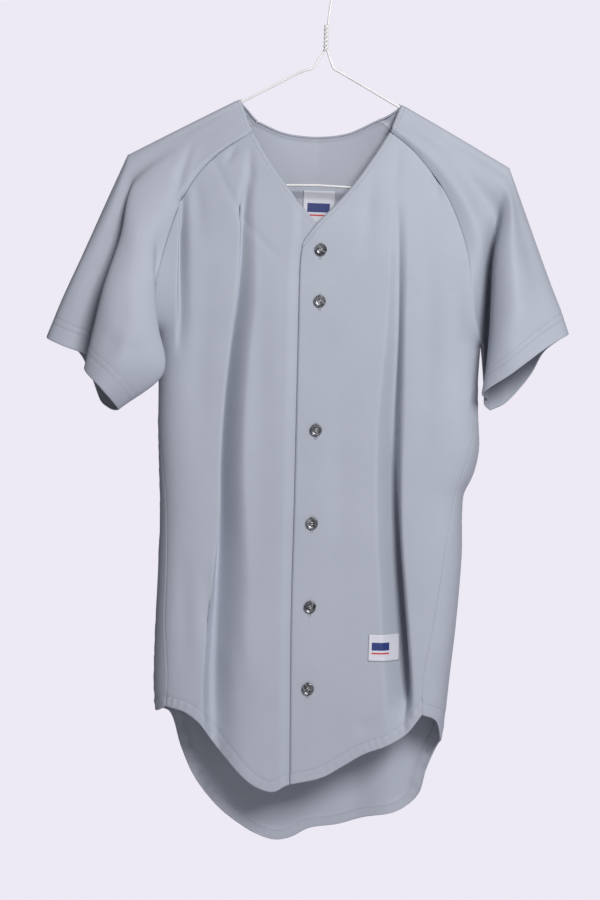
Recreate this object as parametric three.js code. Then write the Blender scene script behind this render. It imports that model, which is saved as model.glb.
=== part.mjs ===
// Button-front baseball shirt with raglan short sleeves and a shirt-tail hem, hung on a wire hanger.
// Millimetres. The origin is the inner top of the hanger's hook. +Z is up and the front faces -Y.
// "Left" and "right" are the sides as seen from the front.
import * as THREE from 'three';

// Cloth and seams
const WALL = 1.5;
const SEAM_GAP = 0.36;
const UNDERARM_GAP = 1.2;
const LAY_GAP = 0.4;
const ROWS_RAGLAN = 10;
const ROWS_SIDE = 16;
const ROWS_CUFF = 5;
const FINE = 160;

// Depth of the hanging cloth, measured from the plane of the hanger
const FRONT = { depth: 50, slope: 0.35, sideTop: 42, sideHem: 50 };
const BACK = { depth: 32, slope: 0.34, sideTop: 26, sideHem: 34 };
const SIDE_ROUND = 60;
const HEM_LEVEL = -800;

// Shoulder line over the wire, from the neck point to the hanger's tip
const NECK_POINT = { x: 85, z: -146.8 };
const HANGER_TIP = { x: 202.5, z: -211 };

// Outline of the body below the arms: the edge seen from the front, and how far the side seam
// lies in front of it. The back panel wraps round the edge to that seam.
const SIDES = {
  left: [
    { z: -402, edge: -166, inset: 0 },
    { z: -440, edge: -162.5, inset: 0.4 },
    { z: -494, edge: -161, inset: 1.5 },
    { z: -533, edge: -159, inset: 5.5 },
    { z: -586, edge: -156, inset: 9 },
    { z: -640, edge: -156, inset: 11 },
    { z: -702, edge: -157, inset: 12 },
    { z: -757, edge: -157, inset: 17 },
    { z: -789, edge: -155.2, inset: 14 },
    { z: -800, edge: -154, inset: 14 },
  ],
  right: [
    { z: -402, edge: 178, inset: 0 },
    { z: -440, edge: 177, inset: 1 },
    { z: -477, edge: 178.4, inset: 4.5 },
    { z: -510, edge: 180.3, inset: 11 },
    { z: -537, edge: 175, inset: 14 },
    { z: -560, edge: 165.5, inset: 11 },
    { z: -622, edge: 165.6, inset: 20.5 },
    { z: -692, edge: 162, inset: 26 },
    { z: -750, edge: 157, inset: 30.5 },
    { z: -789, edge: 154, inset: 27 },
    { z: -818, edge: 150.8, inset: 24 },
  ],
};

// Seams and edges as [x, z] points, from the neck outwards or from left to right
const RAGLAN = {
  frontLeft: [
    [-70, -183], [-104, -207], [-125, -229], [-142, -259], [-154, -294], [-166, -351], [-166, -402],
  ],
  frontRight: [
    [74, -178], [95, -194], [114, -214], [136, -244.5], [158, -300], [169, -373], [178, -402],
  ],
  backLeft: [[-66, -168.5], [-100, -196], [-128, -232], [-148, -280], [-160, -335], [-166, -402]],
  backRight: [[62, -163], [98, -192], [130, -230], [152, -280], [168, -335], [178, -402]],
};
const NECKLINE = {
  left: [[-70, -183], [-53.4, -211], [-32.3, -240.2], [-14.9, -262.1], [1.3, -280], [20, -301]],
  right: [[-13.8, -297.8], [-1.1, -280.5], [18.1, -259.6], [35.8, -238.2], [55.2, -209.5], [74, -178]],
  back: [[-66, -168.5], [-38, -179.1], [-3.8, -182], [30.1, -177.6], [62, -163]],
};
const PLACKET = {
  over: [[-13.8, -297.8], [-16, -318], [-15.6, -403], [-14, -569], [-13.2, -693], [-8.8, -865.5]],
  under: [[20, -301], [26, -330], [27, -560], [28, -760], [30, -852]],
};
const HEM = {
  left: [
    [-141.2, -789], [-119.8, -794.5], [-98, -811.9], [-78.6, -836.9], [-59, -858.8], [-42, -870.3],
    [-26, -873.8], [-12, -867], [10, -860], [30, -852],
  ],
  right: [[-8.8, -865.5], [24.6, -857], [45, -845], [68, -831], [91, -822], [110, -809.6], [127, -789]],
  back: [
    [-141.2, -800], [-126.2, -840.1], [-111, -871.3], [-91, -895], [-66.3, -916], [-44.3, -929.4],
    [-22.5, -935.6], [-5.7, -932.2], [13.2, -922], [44.2, -916.6], [72.8, -907.6], [108.6, -899.2],
    [129.3, -881.8], [137.3, -853.6],
  ],
  wrapLeft: [[-169.2, -789], [-157, -796]],
  wrapRight: [[150.8, -820], [165, -795], [181, -789]],
};

// Long folds that hang from the chest. A fold's floor runs down through x, its depth follows,
// and each side opens over its own width.
const FRONT_FOLDS = [
  {
    name: 'left groove',
    path: [
      { z: -250, x: -74, depth: 0, left: 16, right: 18 },
      { z: -285, x: -77, depth: 9, left: 18, right: 22 },
      { z: -445, x: -80, depth: 12, left: 24, right: 30 },
      { z: -670, x: -81, depth: 8, left: 30, right: 34 },
      { z: -860, x: -76, depth: 3, left: 30, right: 34 },
    ],
  },
  {
    name: 'right groove',
    path: [
      { z: -245, x: 80, depth: 0, left: 22, right: 8 },
      { z: -303, x: 81, depth: 9, left: 26, right: 7 },
      { z: -440, x: 82, depth: 14, left: 32, right: 9 },
      { z: -567, x: 84, depth: 20, left: 38, right: 12 },
      { z: -694, x: 89, depth: 26, left: 42, right: 17 },
      { z: -757, x: 93, depth: 27, left: 42, right: 18 },
      { z: -822, x: 99, depth: 22, left: 38, right: 18 },
    ],
  },
  {
    name: 'armhole fold',
    path: [
      { z: -255, x: -143, depth: 0, left: 9, right: 14 },
      { z: -295, x: -139, depth: 5, left: 10, right: 16 },
      { z: -360, x: -147, depth: 3, left: 10, right: 18 },
      { z: -400, x: -150, depth: 0, left: 10, right: 18 },
    ],
  },
];
const BACK_FOLDS = [
  {
    name: 'back left groove',
    path: [
      { z: -240, x: -88, depth: 0, left: 22, right: 26 },
      { z: -420, x: -92, depth: 8, left: 26, right: 34 },
      { z: -700, x: -84, depth: 11, left: 30, right: 40 },
      { z: -930, x: -78, depth: 6, left: 30, right: 40 },
    ],
  },
  {
    name: 'back right groove',
    path: [
      { z: -260, x: 70, depth: 0, left: 26, right: 22 },
      { z: -460, x: 76, depth: 9, left: 34, right: 26 },
      { z: -720, x: 92, depth: 12, left: 40, right: 28 },
      { z: -930, x: 98, depth: 5, left: 40, right: 28 },
    ],
  },
];

// Sleeves: lines that run from the neck to the hem, in order from the front seam over the shoulder
// to the back seam. "columns" is the number of steps from the line before. "corner" is how sharply
// the line turns down over the hanger's tip: 0 is smooth and 1 is sharp.
const STATION_ROWS = { neck: 0, yoke: 3, tip: 6, upper: 8, arm: 10, fold: 12, hem: 15 };
const STATIONS = Object.keys(STATION_ROWS);
const TIP_STATION = STATIONS.indexOf('tip');
const SLEEVE_LEFT = {
  underarm: { fold: [-185, -4, -436], hem: [-212, -8, -480] },
  lastColumns: 2,
  lines: [
    {
      name: 'inner side', columns: 2, corner: 0,
      neck: [-71.4, -12.2, -179.5], yoke: [-129.5, -17, -229], tip: [-161.5, -27, -299],
      upper: [-168.5, -26, -350], arm: [-174, -23, -398],
      fold: [-173, -24, -443], hem: [-206, -22, -482],
    },
    {
      name: 'inner fold', columns: 2, corner: 0,
      neck: [-74, -11, -175], yoke: [-131.5, -15.5, -220], tip: [-168, -31, -290],
      upper: [-167, -40, -340], arm: [-161, -45, -390],
      fold: [-153, -43, -440], hem: [-200, -39, -481],
    },
    {
      name: 'lobe front', columns: 3, corner: 0,
      neck: [-77, -9, -168], yoke: [-134, -13, -209], tip: [-181, -29, -270],
      upper: [-187, -45, -325], arm: [-191, -59, -380],
      fold: [-195, -62, -426], hem: [-217, -59, -460],
    },
    {
      name: 'lobe edge', columns: 3, corner: 0.3,
      neck: [-79, -7, -162], yoke: [-136, -10, -199], tip: [-194.5, -20, -248],
      upper: [-204.5, -32, -302], arm: [-219, -46, -356],
      fold: [-229, -48, -405], hem: [-236.5, -46, -440],
    },
    {
      name: 'valley', columns: 3, corner: 0.3,
      neck: [-81, -5.2, -157], yoke: [-137.5, -7.5, -191], tip: [-195, -14, -236],
      upper: [-200, -19, -289], arm: [-207, -13, -341],
      fold: [-213, -8, -388], hem: [-219, -8, -431],
    },
    {
      name: 'outer lobe', columns: 2, corner: 0.7,
      neck: [-83, -4, -153], yoke: [-139, -4.8, -184], tip: [-200.5, -8, -221],
      upper: [-219, -19, -277], arm: [-238, -25, -331],
      fold: [-252, -28, -375], hem: [-262, -27, -416],
    },
    {
      name: 'ridge front', columns: 2, corner: 1,
      neck: [-84.6, -3.2, -149.4], yoke: [-140.2, -3.2, -179], tip: [-201.5, -3.2, -213],
      upper: [-223.5, -8, -269], arm: [-246, -13, -325],
      fold: [-263.5, -15, -368], hem: [-278.5, -15, -409],
    },
    {
      name: 'ridge', columns: 1, corner: 1,
      neck: [-85, 0, -146.8], yoke: [-140.6, 0, -176.8], tip: [-202.5, 0, -210.6],
      upper: [-225.5, 0, -266], arm: [-248, 0, -322],
      fold: [-266, -1, -365], hem: [-281.5, -3, -406.5],
    },
    {
      name: 'ridge back', columns: 1, corner: 1,
      neck: [-84.6, 3.2, -149.4], yoke: [-140.2, 3.2, -179], tip: [-201.5, 3.4, -213.4],
      upper: [-223.5, 7, -269], arm: [-245, 9, -326],
      fold: [-262, 10, -369], hem: [-276, 8, -408.5],
    },
    {
      name: 'back outer', columns: 2, corner: 0.7,
      neck: [-81, 4.2, -153], yoke: [-138, 6, -190], tip: [-195, 10, -231],
      upper: [-213, 17, -288], arm: [-233, 19, -344],
      fold: [-246, 20, -386], hem: [-251, 18, -419],
    },
    {
      name: 'back upper', columns: 2, corner: 0.3,
      neck: [-76, 5.6, -158], yoke: [-135, 9.5, -203], tip: [-184, 18, -256],
      upper: [-200, 24, -311], arm: [-216, 27, -366],
      fold: [-226, 26, -410], hem: [-236, 17, -444],
    },
    {
      name: 'back lower', columns: 3, corner: 0,
      neck: [-71, 7.5, -163.5], yoke: [-131, 12.5, -218], tip: [-167, 23, -276],
      upper: [-177, 26, -333], arm: [-188, 25, -388],
      fold: [-202, 21, -430], hem: [-223, 7, -472],
    },
  ],
};
const SLEEVE_RIGHT = {
  underarm: { fold: [181, -5, -429], hem: [189, -9, -469] },
  lastColumns: 2,
  lines: [
    {
      name: 'shoulder face', columns: 3, corner: 0,
      neck: [76, -11.5, -173], yoke: [129, -17, -216], tip: [171, -24, -282],
      upper: [176.5, -17, -335], arm: [179.5, -7, -398],
      fold: [181, -11, -430], hem: [182, -16, -463],
    },
    {
      name: 'valley', columns: 3, corner: 0.2,
      neck: [78, -9, -167], yoke: [133, -13, -204], tip: [186, -10, -262],
      upper: [187, 1, -318], arm: [187.5, 2, -390],
      fold: [186.5, -6, -424], hem: [184.5, -18, -458],
    },
    {
      name: 'lobe edge', columns: 3, corner: 0.3,
      neck: [80, -7, -162], yoke: [135.5, -10, -198], tip: [194, -14, -245],
      upper: [185.5, -36, -308], arm: [181, -50, -388],
      fold: [179, -52, -421], hem: [175.5, -52, -452],
    },
    {
      name: 'lobe front', columns: 3, corner: 0.3,
      neck: [81.5, -5.2, -157.5], yoke: [137.5, -7.6, -191], tip: [198, -14, -235],
      upper: [203, -43, -296], arm: [207, -61, -371],
      fold: [206, -61, -403], hem: [205, -60, -432],
    },
    {
      name: 'lobe outer', columns: 3, corner: 0.7,
      neck: [83, -4, -153], yoke: [139, -4.8, -184], tip: [200.8, -6, -221],
      upper: [216, -27, -283], arm: [233, -46, -352],
      fold: [239, -50, -378], hem: [242, -53, -403],
    },
    {
      name: 'ridge front', columns: 2, corner: 1,
      neck: [84.6, -3.2, -149.4], yoke: [140.2, -3.2, -179], tip: [201.6, -3.2, -213.6],
      upper: [223.5, -17, -277], arm: [245, -32, -339],
      fold: [255.5, -38, -365], hem: [263, -43, -389.5],
    },
    {
      name: 'ridge', columns: 1, corner: 1,
      neck: [85, 0, -146.8], yoke: [140.6, 0, -176.8], tip: [202.5, 0, -211],
      upper: [225.5, -9, -274], arm: [248, -22, -336],
      fold: [258, -28, -362], hem: [266.5, -34, -387.5],
    },
    {
      name: 'ridge back', columns: 1, corner: 1,
      neck: [84.6, 3.2, -149.4], yoke: [140.2, 3.2, -179], tip: [201.6, 3.4, -213.8],
      upper: [222.5, -1, -279], arm: [244, -9, -342],
      fold: [253, -14, -368], hem: [259.5, -19, -392.5],
    },
    {
      name: 'back outer', columns: 2, corner: 0.7,
      neck: [80, 4.2, -153], yoke: [138, 6, -190], tip: [195, 10, -233],
      upper: [213, 8, -297], arm: [233, 2, -358],
      fold: [240, -2, -384], hem: [245, -9, -405],
    },
    {
      name: 'back upper', columns: 2, corner: 0.3,
      neck: [74, 5.8, -157], yoke: [134.5, 9.5, -203], tip: [187, 17, -255],
      upper: [203, 17, -314], arm: [220, 12, -375],
      fold: [226, 9, -403], hem: [233, 3, -429],
    },
    {
      name: 'back lower', columns: 3, corner: 0,
      neck: [67.5, 7.5, -160.5], yoke: [130, 12.5, -217], tip: [170, 23, -278],
      upper: [183, 21, -336], arm: [197, 14, -394],
      fold: [203, 11, -427], hem: [208, 4, -459],
    },
  ],
};

// Buttons, as [x, z] of their centres on the right front
const BUTTON_CENTRES = [[5.3, -307.4], [6, -361.2], [6.4, -495.8], [5.4, -593.1], [6.3, -680], [7, -765.1]];
const BUTTON = { radius: 6.4, thick: 2.4, rim: 1.5, dish: 0.7, sides: 14 };

// Sewn labels, left to right and top to bottom, with their wall
const NECK_LABEL = { left: -15, right: 18.5, top: -239.5, bottom: -274, thick: 0.8, across: 6, down: 6 };
const HEM_LABEL = { left: 68.5, right: 97, top: -706.5, bottom: -734, thick: 0.8, across: 10, down: 6 };

// Hanger: one bent wire, from the end of its twist round the shoulders to the tip of its hook
const WIRE = { radius: 1.25, sides: 8 };
const HANGER = {
  joint: -114.6, halfTop: 20, tipX: 199, tipZ: -213.4, barZ: -236, barX: 190, corner: 7,
  twistFoot: -93, twistTop: -66, twistRadius: 1.5, twistTurns: 3, stemX: 3.9, hookRadius: 19.25,
};

const FABRIC_COLOR = 0xa9b3ba;
const BUTTON_COLOR = 0x5b5e62;
const LABEL_COLOR = 0xf1f2f2;
const WIRE_COLOR = 0xf0f0ee;

const garment = new THREE.Group();

// Reads a column of a table whose rows run downwards in z, with smooth tangents
function read(table, column, z) {
  const last = table.length - 1;
  if (z >= table[0].z) return table[0][column];
  if (z <= table[last].z) return table[last][column];
  let i = 0;
  while (z < table[i + 1].z) i += 1;
  const slope = (k) => {
    const above = table[Math.max(k - 1, 0)];
    const below = table[Math.min(k + 1, last)];
    return (below[column] - above[column]) / (below.z - above.z);
  };
  const span = table[i + 1].z - table[i].z;
  const t = (z - table[i].z) / span;
  const s = 1 - t;
  return table[i][column] * (1 + 2 * t) * s * s
    + table[i + 1][column] * (1 + 2 * s) * t * t
    + slope(i) * span * t * s * s
    - slope(i + 1) * span * s * t * t;
}

function smoothStep(t) {
  const c = Math.min(Math.max(t, 0), 1);
  return c * c * (3 - 2 * c);
}

function softMin(a, b) {
  return (a * b) / Math.max((a ** 4 + b ** 4) ** 0.25, 1e-6);
}

function distanceToShoulder(x, z) {
  const dx = HANGER_TIP.x - NECK_POINT.x;
  const dz = HANGER_TIP.z - NECK_POINT.z;
  const t = ((Math.abs(x) - NECK_POINT.x) * dx + (z - NECK_POINT.z) * dz) / (dx * dx + dz * dz);
  const c = Math.min(Math.max(t, 0), 1);
  return Math.hypot(Math.abs(x) - NECK_POINT.x - c * dx, z - NECK_POINT.z - c * dz);
}

function distanceToSide(side, x, z) {
  const arm = side[0];
  if (z > arm.z) return Math.hypot(x - arm.edge, z - arm.z);
  return Math.abs(x - read(side, 'edge', z));
}

function foldDepth(folds, x, z) {
  let sum = 0;
  for (const { path } of folds) {
    const away = x - read(path, 'x', z);
    const width = read(path, away < 0 ? 'left' : 'right', z);
    sum += Math.max(read(path, 'depth', z), 0) * (1 - smoothStep(Math.abs(away) / width));
  }
  return sum;
}

// How far a sheet of the hanging body stands from the hanger's plane
function standOff(sheet, folds, x, z) {
  const down = smoothStep((SIDES.left[0].z - z) / (SIDES.left[0].z - HEM_LEVEL));
  const sideDepth = THREE.MathUtils.lerp(sheet.sideTop, sheet.sideHem, down);
  const top = sheet.depth * (1 - Math.exp((-sheet.slope * distanceToShoulder(x, z)) / sheet.depth));
  let depth = top;
  for (const side of [SIDES.left, SIDES.right]) {
    const near = Math.min(distanceToSide(side, x, z) / SIDE_ROUND, 1);
    depth = softMin(depth, sideDepth * Math.sqrt(1 - (1 - near) ** 2));
  }
  const flat = Math.min(depth, 3);
  return Math.max(depth - foldDepth(folds, x, z), flat);
}

function frontPoint(x, z) {
  return new THREE.Vector3(x, -standOff(FRONT, FRONT_FOLDS, x, z), z);
}

function backPoint(x, z) {
  return new THREE.Vector3(x, standOff(BACK, BACK_FOLDS, x, z), z);
}

// The left front dips under the right one along the placket
function underPoint(x, z) {
  const edge = placketX(z);
  const dip = (WALL + LAY_GAP + 0.3) * smoothStep((x - edge + 11) / 9);
  const point = frontPoint(x, z);
  point.y += dip;
  return point;
}

// The back sheet, wrapped round the side edges to the front seams
function wrapPoint(x, z) {
  if (z <= SIDES.left[0].z) {
    const left = read(SIDES.left, 'edge', z);
    const right = read(SIDES.right, 'edge', z);
    if (x < left) return frontPoint(2 * left - x, z);
    if (x > right) return frontPoint(2 * right - x, z);
  }
  return backPoint(x, z);
}

function curveOf(points) {
  return new THREE.CatmullRomCurve3(points.map(([x, z]) => new THREE.Vector3(x, 0, z)), false, 'centripetal');
}

function spaced(points, count) {
  return curveOf(points).getSpacedPoints(count);
}

const placketCurve = curveOf(PLACKET.over).getSpacedPoints(60);
function placketX(z) {
  let best = placketCurve[0];
  for (const point of placketCurve) {
    if (Math.abs(point.z - z) < Math.abs(best.z - z)) best = point;
  }
  return best.x;
}

// The side seam from the underarm to the hem, as it lies or unwrapped beyond the edge
function sideSeam(side, unwrapped) {
  const outward = Math.sign(side[0].edge);
  const foot = outward < 0 ? HEM.left[0][1] : HEM.right[HEM.right.length - 1][1];
  const points = [];
  for (let i = 0; i <= ROWS_SIDE; i += 1) {
    const z = THREE.MathUtils.lerp(side[0].z, foot, i / ROWS_SIDE);
    const inset = read(side, 'inset', z) * outward;
    points.push(new THREE.Vector3(read(side, 'edge', z) + (unwrapped ? inset : -inset), 0, z));
  }
  return points;
}

function outerEdge(raglan, side, unwrapped) {
  return spaced(raglan, ROWS_RAGLAN).slice(0, -1).concat(sideSeam(side, unwrapped));
}

// A panel's rows: a patch between four edges in x and z, laid on a sheet. Each row is cut where it
// crosses the folds' lines and spaced evenly between the cuts, so that columns follow the folds.
function panelGrid({ top, bottom, left, right }, spans, place) {
  const rows = left.length - 1;
  const topCurve = curveOf(top);
  const bottomCurve = curveOf(bottom);
  const grid = [];
  for (let j = 0; j <= rows; j += 1) {
    const v = j / rows;
    const line = [];
    for (let k = 0; k <= FINE; k += 1) {
      const u = k / FINE;
      const point = new THREE.Vector3();
      point.addScaledVector(left[j], 1 - u).addScaledVector(right[j], u);
      point.addScaledVector(topCurve.getPointAt(u), 1 - v).addScaledVector(bottomCurve.getPointAt(u), v);
      point.addScaledVector(left[0], -(1 - u) * (1 - v)).addScaledVector(right[0], -u * (1 - v));
      point.addScaledVector(left[rows], -(1 - u) * v).addScaledVector(right[rows], -u * v);
      line.push(place(point.x, point.z));
    }
    grid.push(spacedRow(line, spans));
  }
  return grid;
}

function foldLine(folds, name, side) {
  const { path } = folds.find((fold) => fold.name === name);
  const sign = { left: -1, floor: 0, right: 1 }[side];
  return (z) => read(path, 'x', z) + (sign === 0 ? 0 : sign * read(path, side, z));
}

// Where along a row, from 0 to 1, it crosses a fold's line
function crossing(line, lineX) {
  const ahead = line.findIndex((point) => point.x > lineX(point.z));
  return ahead < 0 ? 1 : ahead / (line.length - 1);
}

function spacedRow(line, spans) {
  const points = [line[0].clone()];
  let start = 0;
  for (const { columns, line: lineX, low = 0, high = 1 } of spans) {
    const at = lineX ? Math.min(Math.max(crossing(line, lineX), low), high) : 1;
    const end = Math.round(at * (line.length - 1));
    points.push(...evenly(line.slice(start, end + 1), columns).slice(1));
    start = end;
  }
  return points;
}

function evenly(line, count) {
  const reach = [0];
  for (let k = 1; k < line.length; k += 1) reach.push(reach[k - 1] + line[k].distanceTo(line[k - 1]));
  const points = [];
  let k = 0;
  for (let i = 0; i <= count; i += 1) {
    const target = (reach[reach.length - 1] * i) / count;
    while (k < line.length - 2 && reach[k + 1] < target) k += 1;
    points.push(line[k].clone().lerp(line[k + 1], (target - reach[k]) / (reach[k + 1] - reach[k])));
  }
  return points;
}

function smoothCurve(points) {
  return new THREE.CatmullRomCurve3(points, false, 'centripetal');
}

// Where a sleeve's row lies between its stations
function stationOf(row) {
  let i = 0;
  while (i < STATIONS.length - 2 && row > STATION_ROWS[STATIONS[i + 1]]) i += 1;
  const start = STATION_ROWS[STATIONS[i]];
  return i + (row - start) / (STATION_ROWS[STATIONS[i + 1]] - start);
}

// The point of a sleeve line in a row: on a smooth curve, drawn towards one with a corner at the tip
function alongSleeve(line, row) {
  const points = STATIONS.map((name) => new THREE.Vector3(...line[name]));
  const station = stationOf(row);
  const last = STATIONS.length - 1;
  const smooth = smoothCurve(points).getPoint(station / last);
  const sharp = station < TIP_STATION
    ? smoothCurve(points.slice(0, TIP_STATION + 1)).getPoint(station / TIP_STATION)
    : smoothCurve(points.slice(TIP_STATION)).getPoint((station - TIP_STATION) / (last - TIP_STATION));
  return smooth.lerp(sharp, line.corner);
}

function sleeveGrid(sleeve, frontSeam, backSeam) {
  const underarm = new THREE.CatmullRomCurve3([
    frontSeam[ROWS_RAGLAN],
    new THREE.Vector3(...sleeve.underarm.fold),
    new THREE.Vector3(...sleeve.underarm.hem),
  ]);
  const grid = [];
  for (let row = 0; row <= ROWS_RAGLAN + ROWS_CUFF; row += 1) {
    const below = underarm.getPoint(Math.max(row - ROWS_RAGLAN, 0) / ROWS_CUFF);
    const first = row < ROWS_RAGLAN ? frontSeam[row] : below;
    const last = row < ROWS_RAGLAN ? backSeam[row] : below;
    const keys = [first, ...sleeve.lines.map((line) => alongSleeve(line, row)), last];
    const section = smoothCurve(keys);
    const steps = sleeve.lines.map((line) => line.columns).concat(sleeve.lastColumns);
    const points = [keys[0].clone()];
    steps.forEach((count, i) => {
      for (let k = 1; k <= count; k += 1) points.push(section.getPoint((i + k / count) / steps.length));
    });
    grid.push(points);
  }
  return grid;
}

function gridNormals(grid, outward) {
  const rows = grid.length - 1;
  const columns = grid[0].length - 1;
  return grid.map((line, j) => line.map((_, i) => {
    const down = grid[Math.min(j + 1, rows)][i].clone().sub(grid[Math.max(j - 1, 0)][i]);
    const along = line[Math.min(i + 1, columns)].clone().sub(line[Math.max(i - 1, 0)]);
    return along.cross(down).normalize().multiplyScalar(outward);
  }));
}

// Panels meet end to end: edge points that lie together share one normal
function shareNormals(panels) {
  const edges = [];
  for (const { grid, normals } of panels) {
    grid.forEach((line, j) => line.forEach((point, i) => {
      const border = j === 0 || i === 0 || j === grid.length - 1 || i === line.length - 1;
      if (border) edges.push({ point, normal: normals[j][i] });
    }));
  }
  const shared = edges.map(({ point }) => {
    const sum = new THREE.Vector3();
    for (const other of edges) if (other.point.distanceTo(point) < 0.5) sum.add(other.normal);
    return sum.normalize();
  });
  edges.forEach(({ normal }, i) => normal.copy(shared[i]));
}

// Draws a panel's side edges back from the seam, further at the underarm, where four edges meet
function openSeams(grid) {
  grid.forEach((line, row) => {
    const last = line.length - 1;
    const gap = row === ROWS_RAGLAN ? UNDERARM_GAP : SEAM_GAP;
    const first = line[1].clone().sub(line[0]).setLength(gap / 2);
    const final = line[last - 1].clone().sub(line[last]).setLength(gap / 2);
    line[0].add(first);
    line[last].add(final);
  });
}

// A closed wall between a grid of outer points and the grid behind it
function wallGeometry(grid, normals, thick, outward) {
  const rows = grid.length;
  const columns = grid[0].length;
  const positions = [];
  grid.flat().forEach((point) => positions.push(point.x, point.y, point.z));
  grid.forEach((line, j) => line.forEach((point, i) => {
    const inner = point.clone().addScaledVector(normals[j][i], -thick);
    positions.push(inner.x, inner.y, inner.z);
  }));
  const at = (j, i, layer) => layer * rows * columns + j * columns + i;
  const indices = [];
  const quad = (a, b, c, d) => {
    if (outward > 0) indices.push(a, b, c, a, c, d);
    else indices.push(a, c, b, a, d, c);
  };
  for (let j = 0; j < rows - 1; j += 1) {
    for (let i = 0; i < columns - 1; i += 1) {
      quad(at(j, i, 0), at(j, i + 1, 0), at(j + 1, i + 1, 0), at(j + 1, i, 0));
      quad(at(j, i, 1), at(j + 1, i, 1), at(j + 1, i + 1, 1), at(j, i + 1, 1));
    }
  }
  for (let i = 0; i < columns - 1; i += 1) {
    const end = rows - 1;
    quad(at(0, i, 1), at(0, i + 1, 1), at(0, i + 1, 0), at(0, i, 0));
    quad(at(end, i, 0), at(end, i + 1, 0), at(end, i + 1, 1), at(end, i, 1));
  }
  for (let j = 0; j < rows - 1; j += 1) {
    const end = columns - 1;
    quad(at(j, 0, 0), at(j + 1, 0, 0), at(j + 1, 0, 1), at(j, 0, 1));
    quad(at(j, end, 1), at(j + 1, end, 1), at(j + 1, end, 0), at(j, end, 0));
  }
  const geometry = new THREE.BufferGeometry();
  geometry.setAttribute('position', new THREE.Float32BufferAttribute(positions, 3));
  geometry.setIndex(indices);
  geometry.computeVertexNormals();
  return geometry;
}

function addPiece(name, geometry, material) {
  const mesh = new THREE.Mesh(geometry, material);
  mesh.name = name;
  garment.add(mesh);
  return mesh;
}

// The point of a panel's wall in front of or behind (x, z), on its facets
function pointOnPanel(panel, x, z, layer) {
  const { grid, normals } = panel;
  const lift = (j, i) => grid[j][i].clone().addScaledVector(normals[j][i], layer === 'outer' ? 0 : -WALL);
  for (let j = 0; j < grid.length - 1; j += 1) {
    for (let i = 0; i < grid[0].length - 1; i += 1) {
      for (const corners of [[[j, i], [j, i + 1], [j + 1, i + 1]], [[j, i], [j + 1, i + 1], [j + 1, i]]]) {
        const [a, b, c] = corners.map(([row, column]) => lift(row, column));
        const area = (b.x - a.x) * (c.z - a.z) - (c.x - a.x) * (b.z - a.z);
        const v = ((x - a.x) * (c.z - a.z) - (c.x - a.x) * (z - a.z)) / area;
        const w = ((b.x - a.x) * (z - a.z) - (x - a.x) * (b.z - a.z)) / area;
        if (v >= -1e-9 && w >= -1e-9 && v + w <= 1 + 1e-9) {
          const y = a.y + v * (b.y - a.y) + w * (c.y - a.y);
          const normal = b.sub(a).cross(c.sub(a)).normalize();
          if (normal.y > 0) normal.negate();
          return { point: new THREE.Vector3(x, y, z), normal };
        }
      }
    }
  }
  throw new Error(`no panel at ${x}, ${z}`);
}

// A label laid on a panel: its points, moved out towards the front
function labelGeometry(panel, label, layer) {
  const grid = [];
  for (let j = 0; j <= label.down; j += 1) {
    const line = [];
    for (let i = 0; i <= label.across; i += 1) {
      const x = THREE.MathUtils.lerp(label.left, label.right, i / label.across);
      const z = THREE.MathUtils.lerp(label.top, label.bottom, j / label.down);
      line.push(pointOnPanel(panel, x, z, layer).point);
    }
    grid.push(line);
  }
  const normals = gridNormals(grid, -1);
  const lifted = grid.map((line, j) => line.map((point, i) => (
    point.clone().addScaledVector(normals[j][i], LAY_GAP + label.thick))));
  return wallGeometry(lifted, normals, label.thick, -1);
}

function buttonGeometry() {
  const { radius, thick, rim, dish, sides } = BUTTON;
  const profile = [
    [0, 0], [radius - 0.8, 0], [radius, 0.8], [radius, thick - 0.8], [radius - 0.6, thick],
    [radius - rim, thick], [radius - rim - 0.8, thick - dish], [0, thick - dish],
  ];
  return new THREE.LatheGeometry(profile.map(([r, h]) => new THREE.Vector2(r, h)), sides);
}

// A wire's path keeps its own stations, so that bends get more of them than straight runs
class WireCurve extends THREE.CatmullRomCurve3 {
  getPointAt(t, target) {
    return this.getPoint(t, target);
  }

  getTangentAt(t, target) {
    return this.getTangent(t, target);
  }

  getSpacedPoints(divisions) {
    return this.getPoints(divisions);
  }
}

function arc(centreX, centreZ, radius, from, to, steps) {
  const points = [];
  for (let k = 0; k <= steps; k += 1) {
    const angle = THREE.MathUtils.degToRad(THREE.MathUtils.lerp(from, to, k / steps));
    points.push(new THREE.Vector3(centreX + radius * Math.cos(angle), 0, centreZ + radius * Math.sin(angle)));
  }
  return points;
}

function twist(phase, downwards) {
  const { twistFoot, twistTop, twistRadius, twistTurns, stemX } = HANGER;
  const steps = twistTurns * 8;
  const points = [];
  for (let k = 0; k <= steps; k += 1) {
    const t = downwards ? 1 - k / steps : k / steps;
    const angle = phase + 2 * Math.PI * twistTurns * t;
    const z = THREE.MathUtils.lerp(twistFoot, twistTop, t);
    points.push(new THREE.Vector3(
      stemX + twistRadius * Math.cos(angle), twistRadius * Math.sin(angle), z));
  }
  return points;
}

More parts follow.
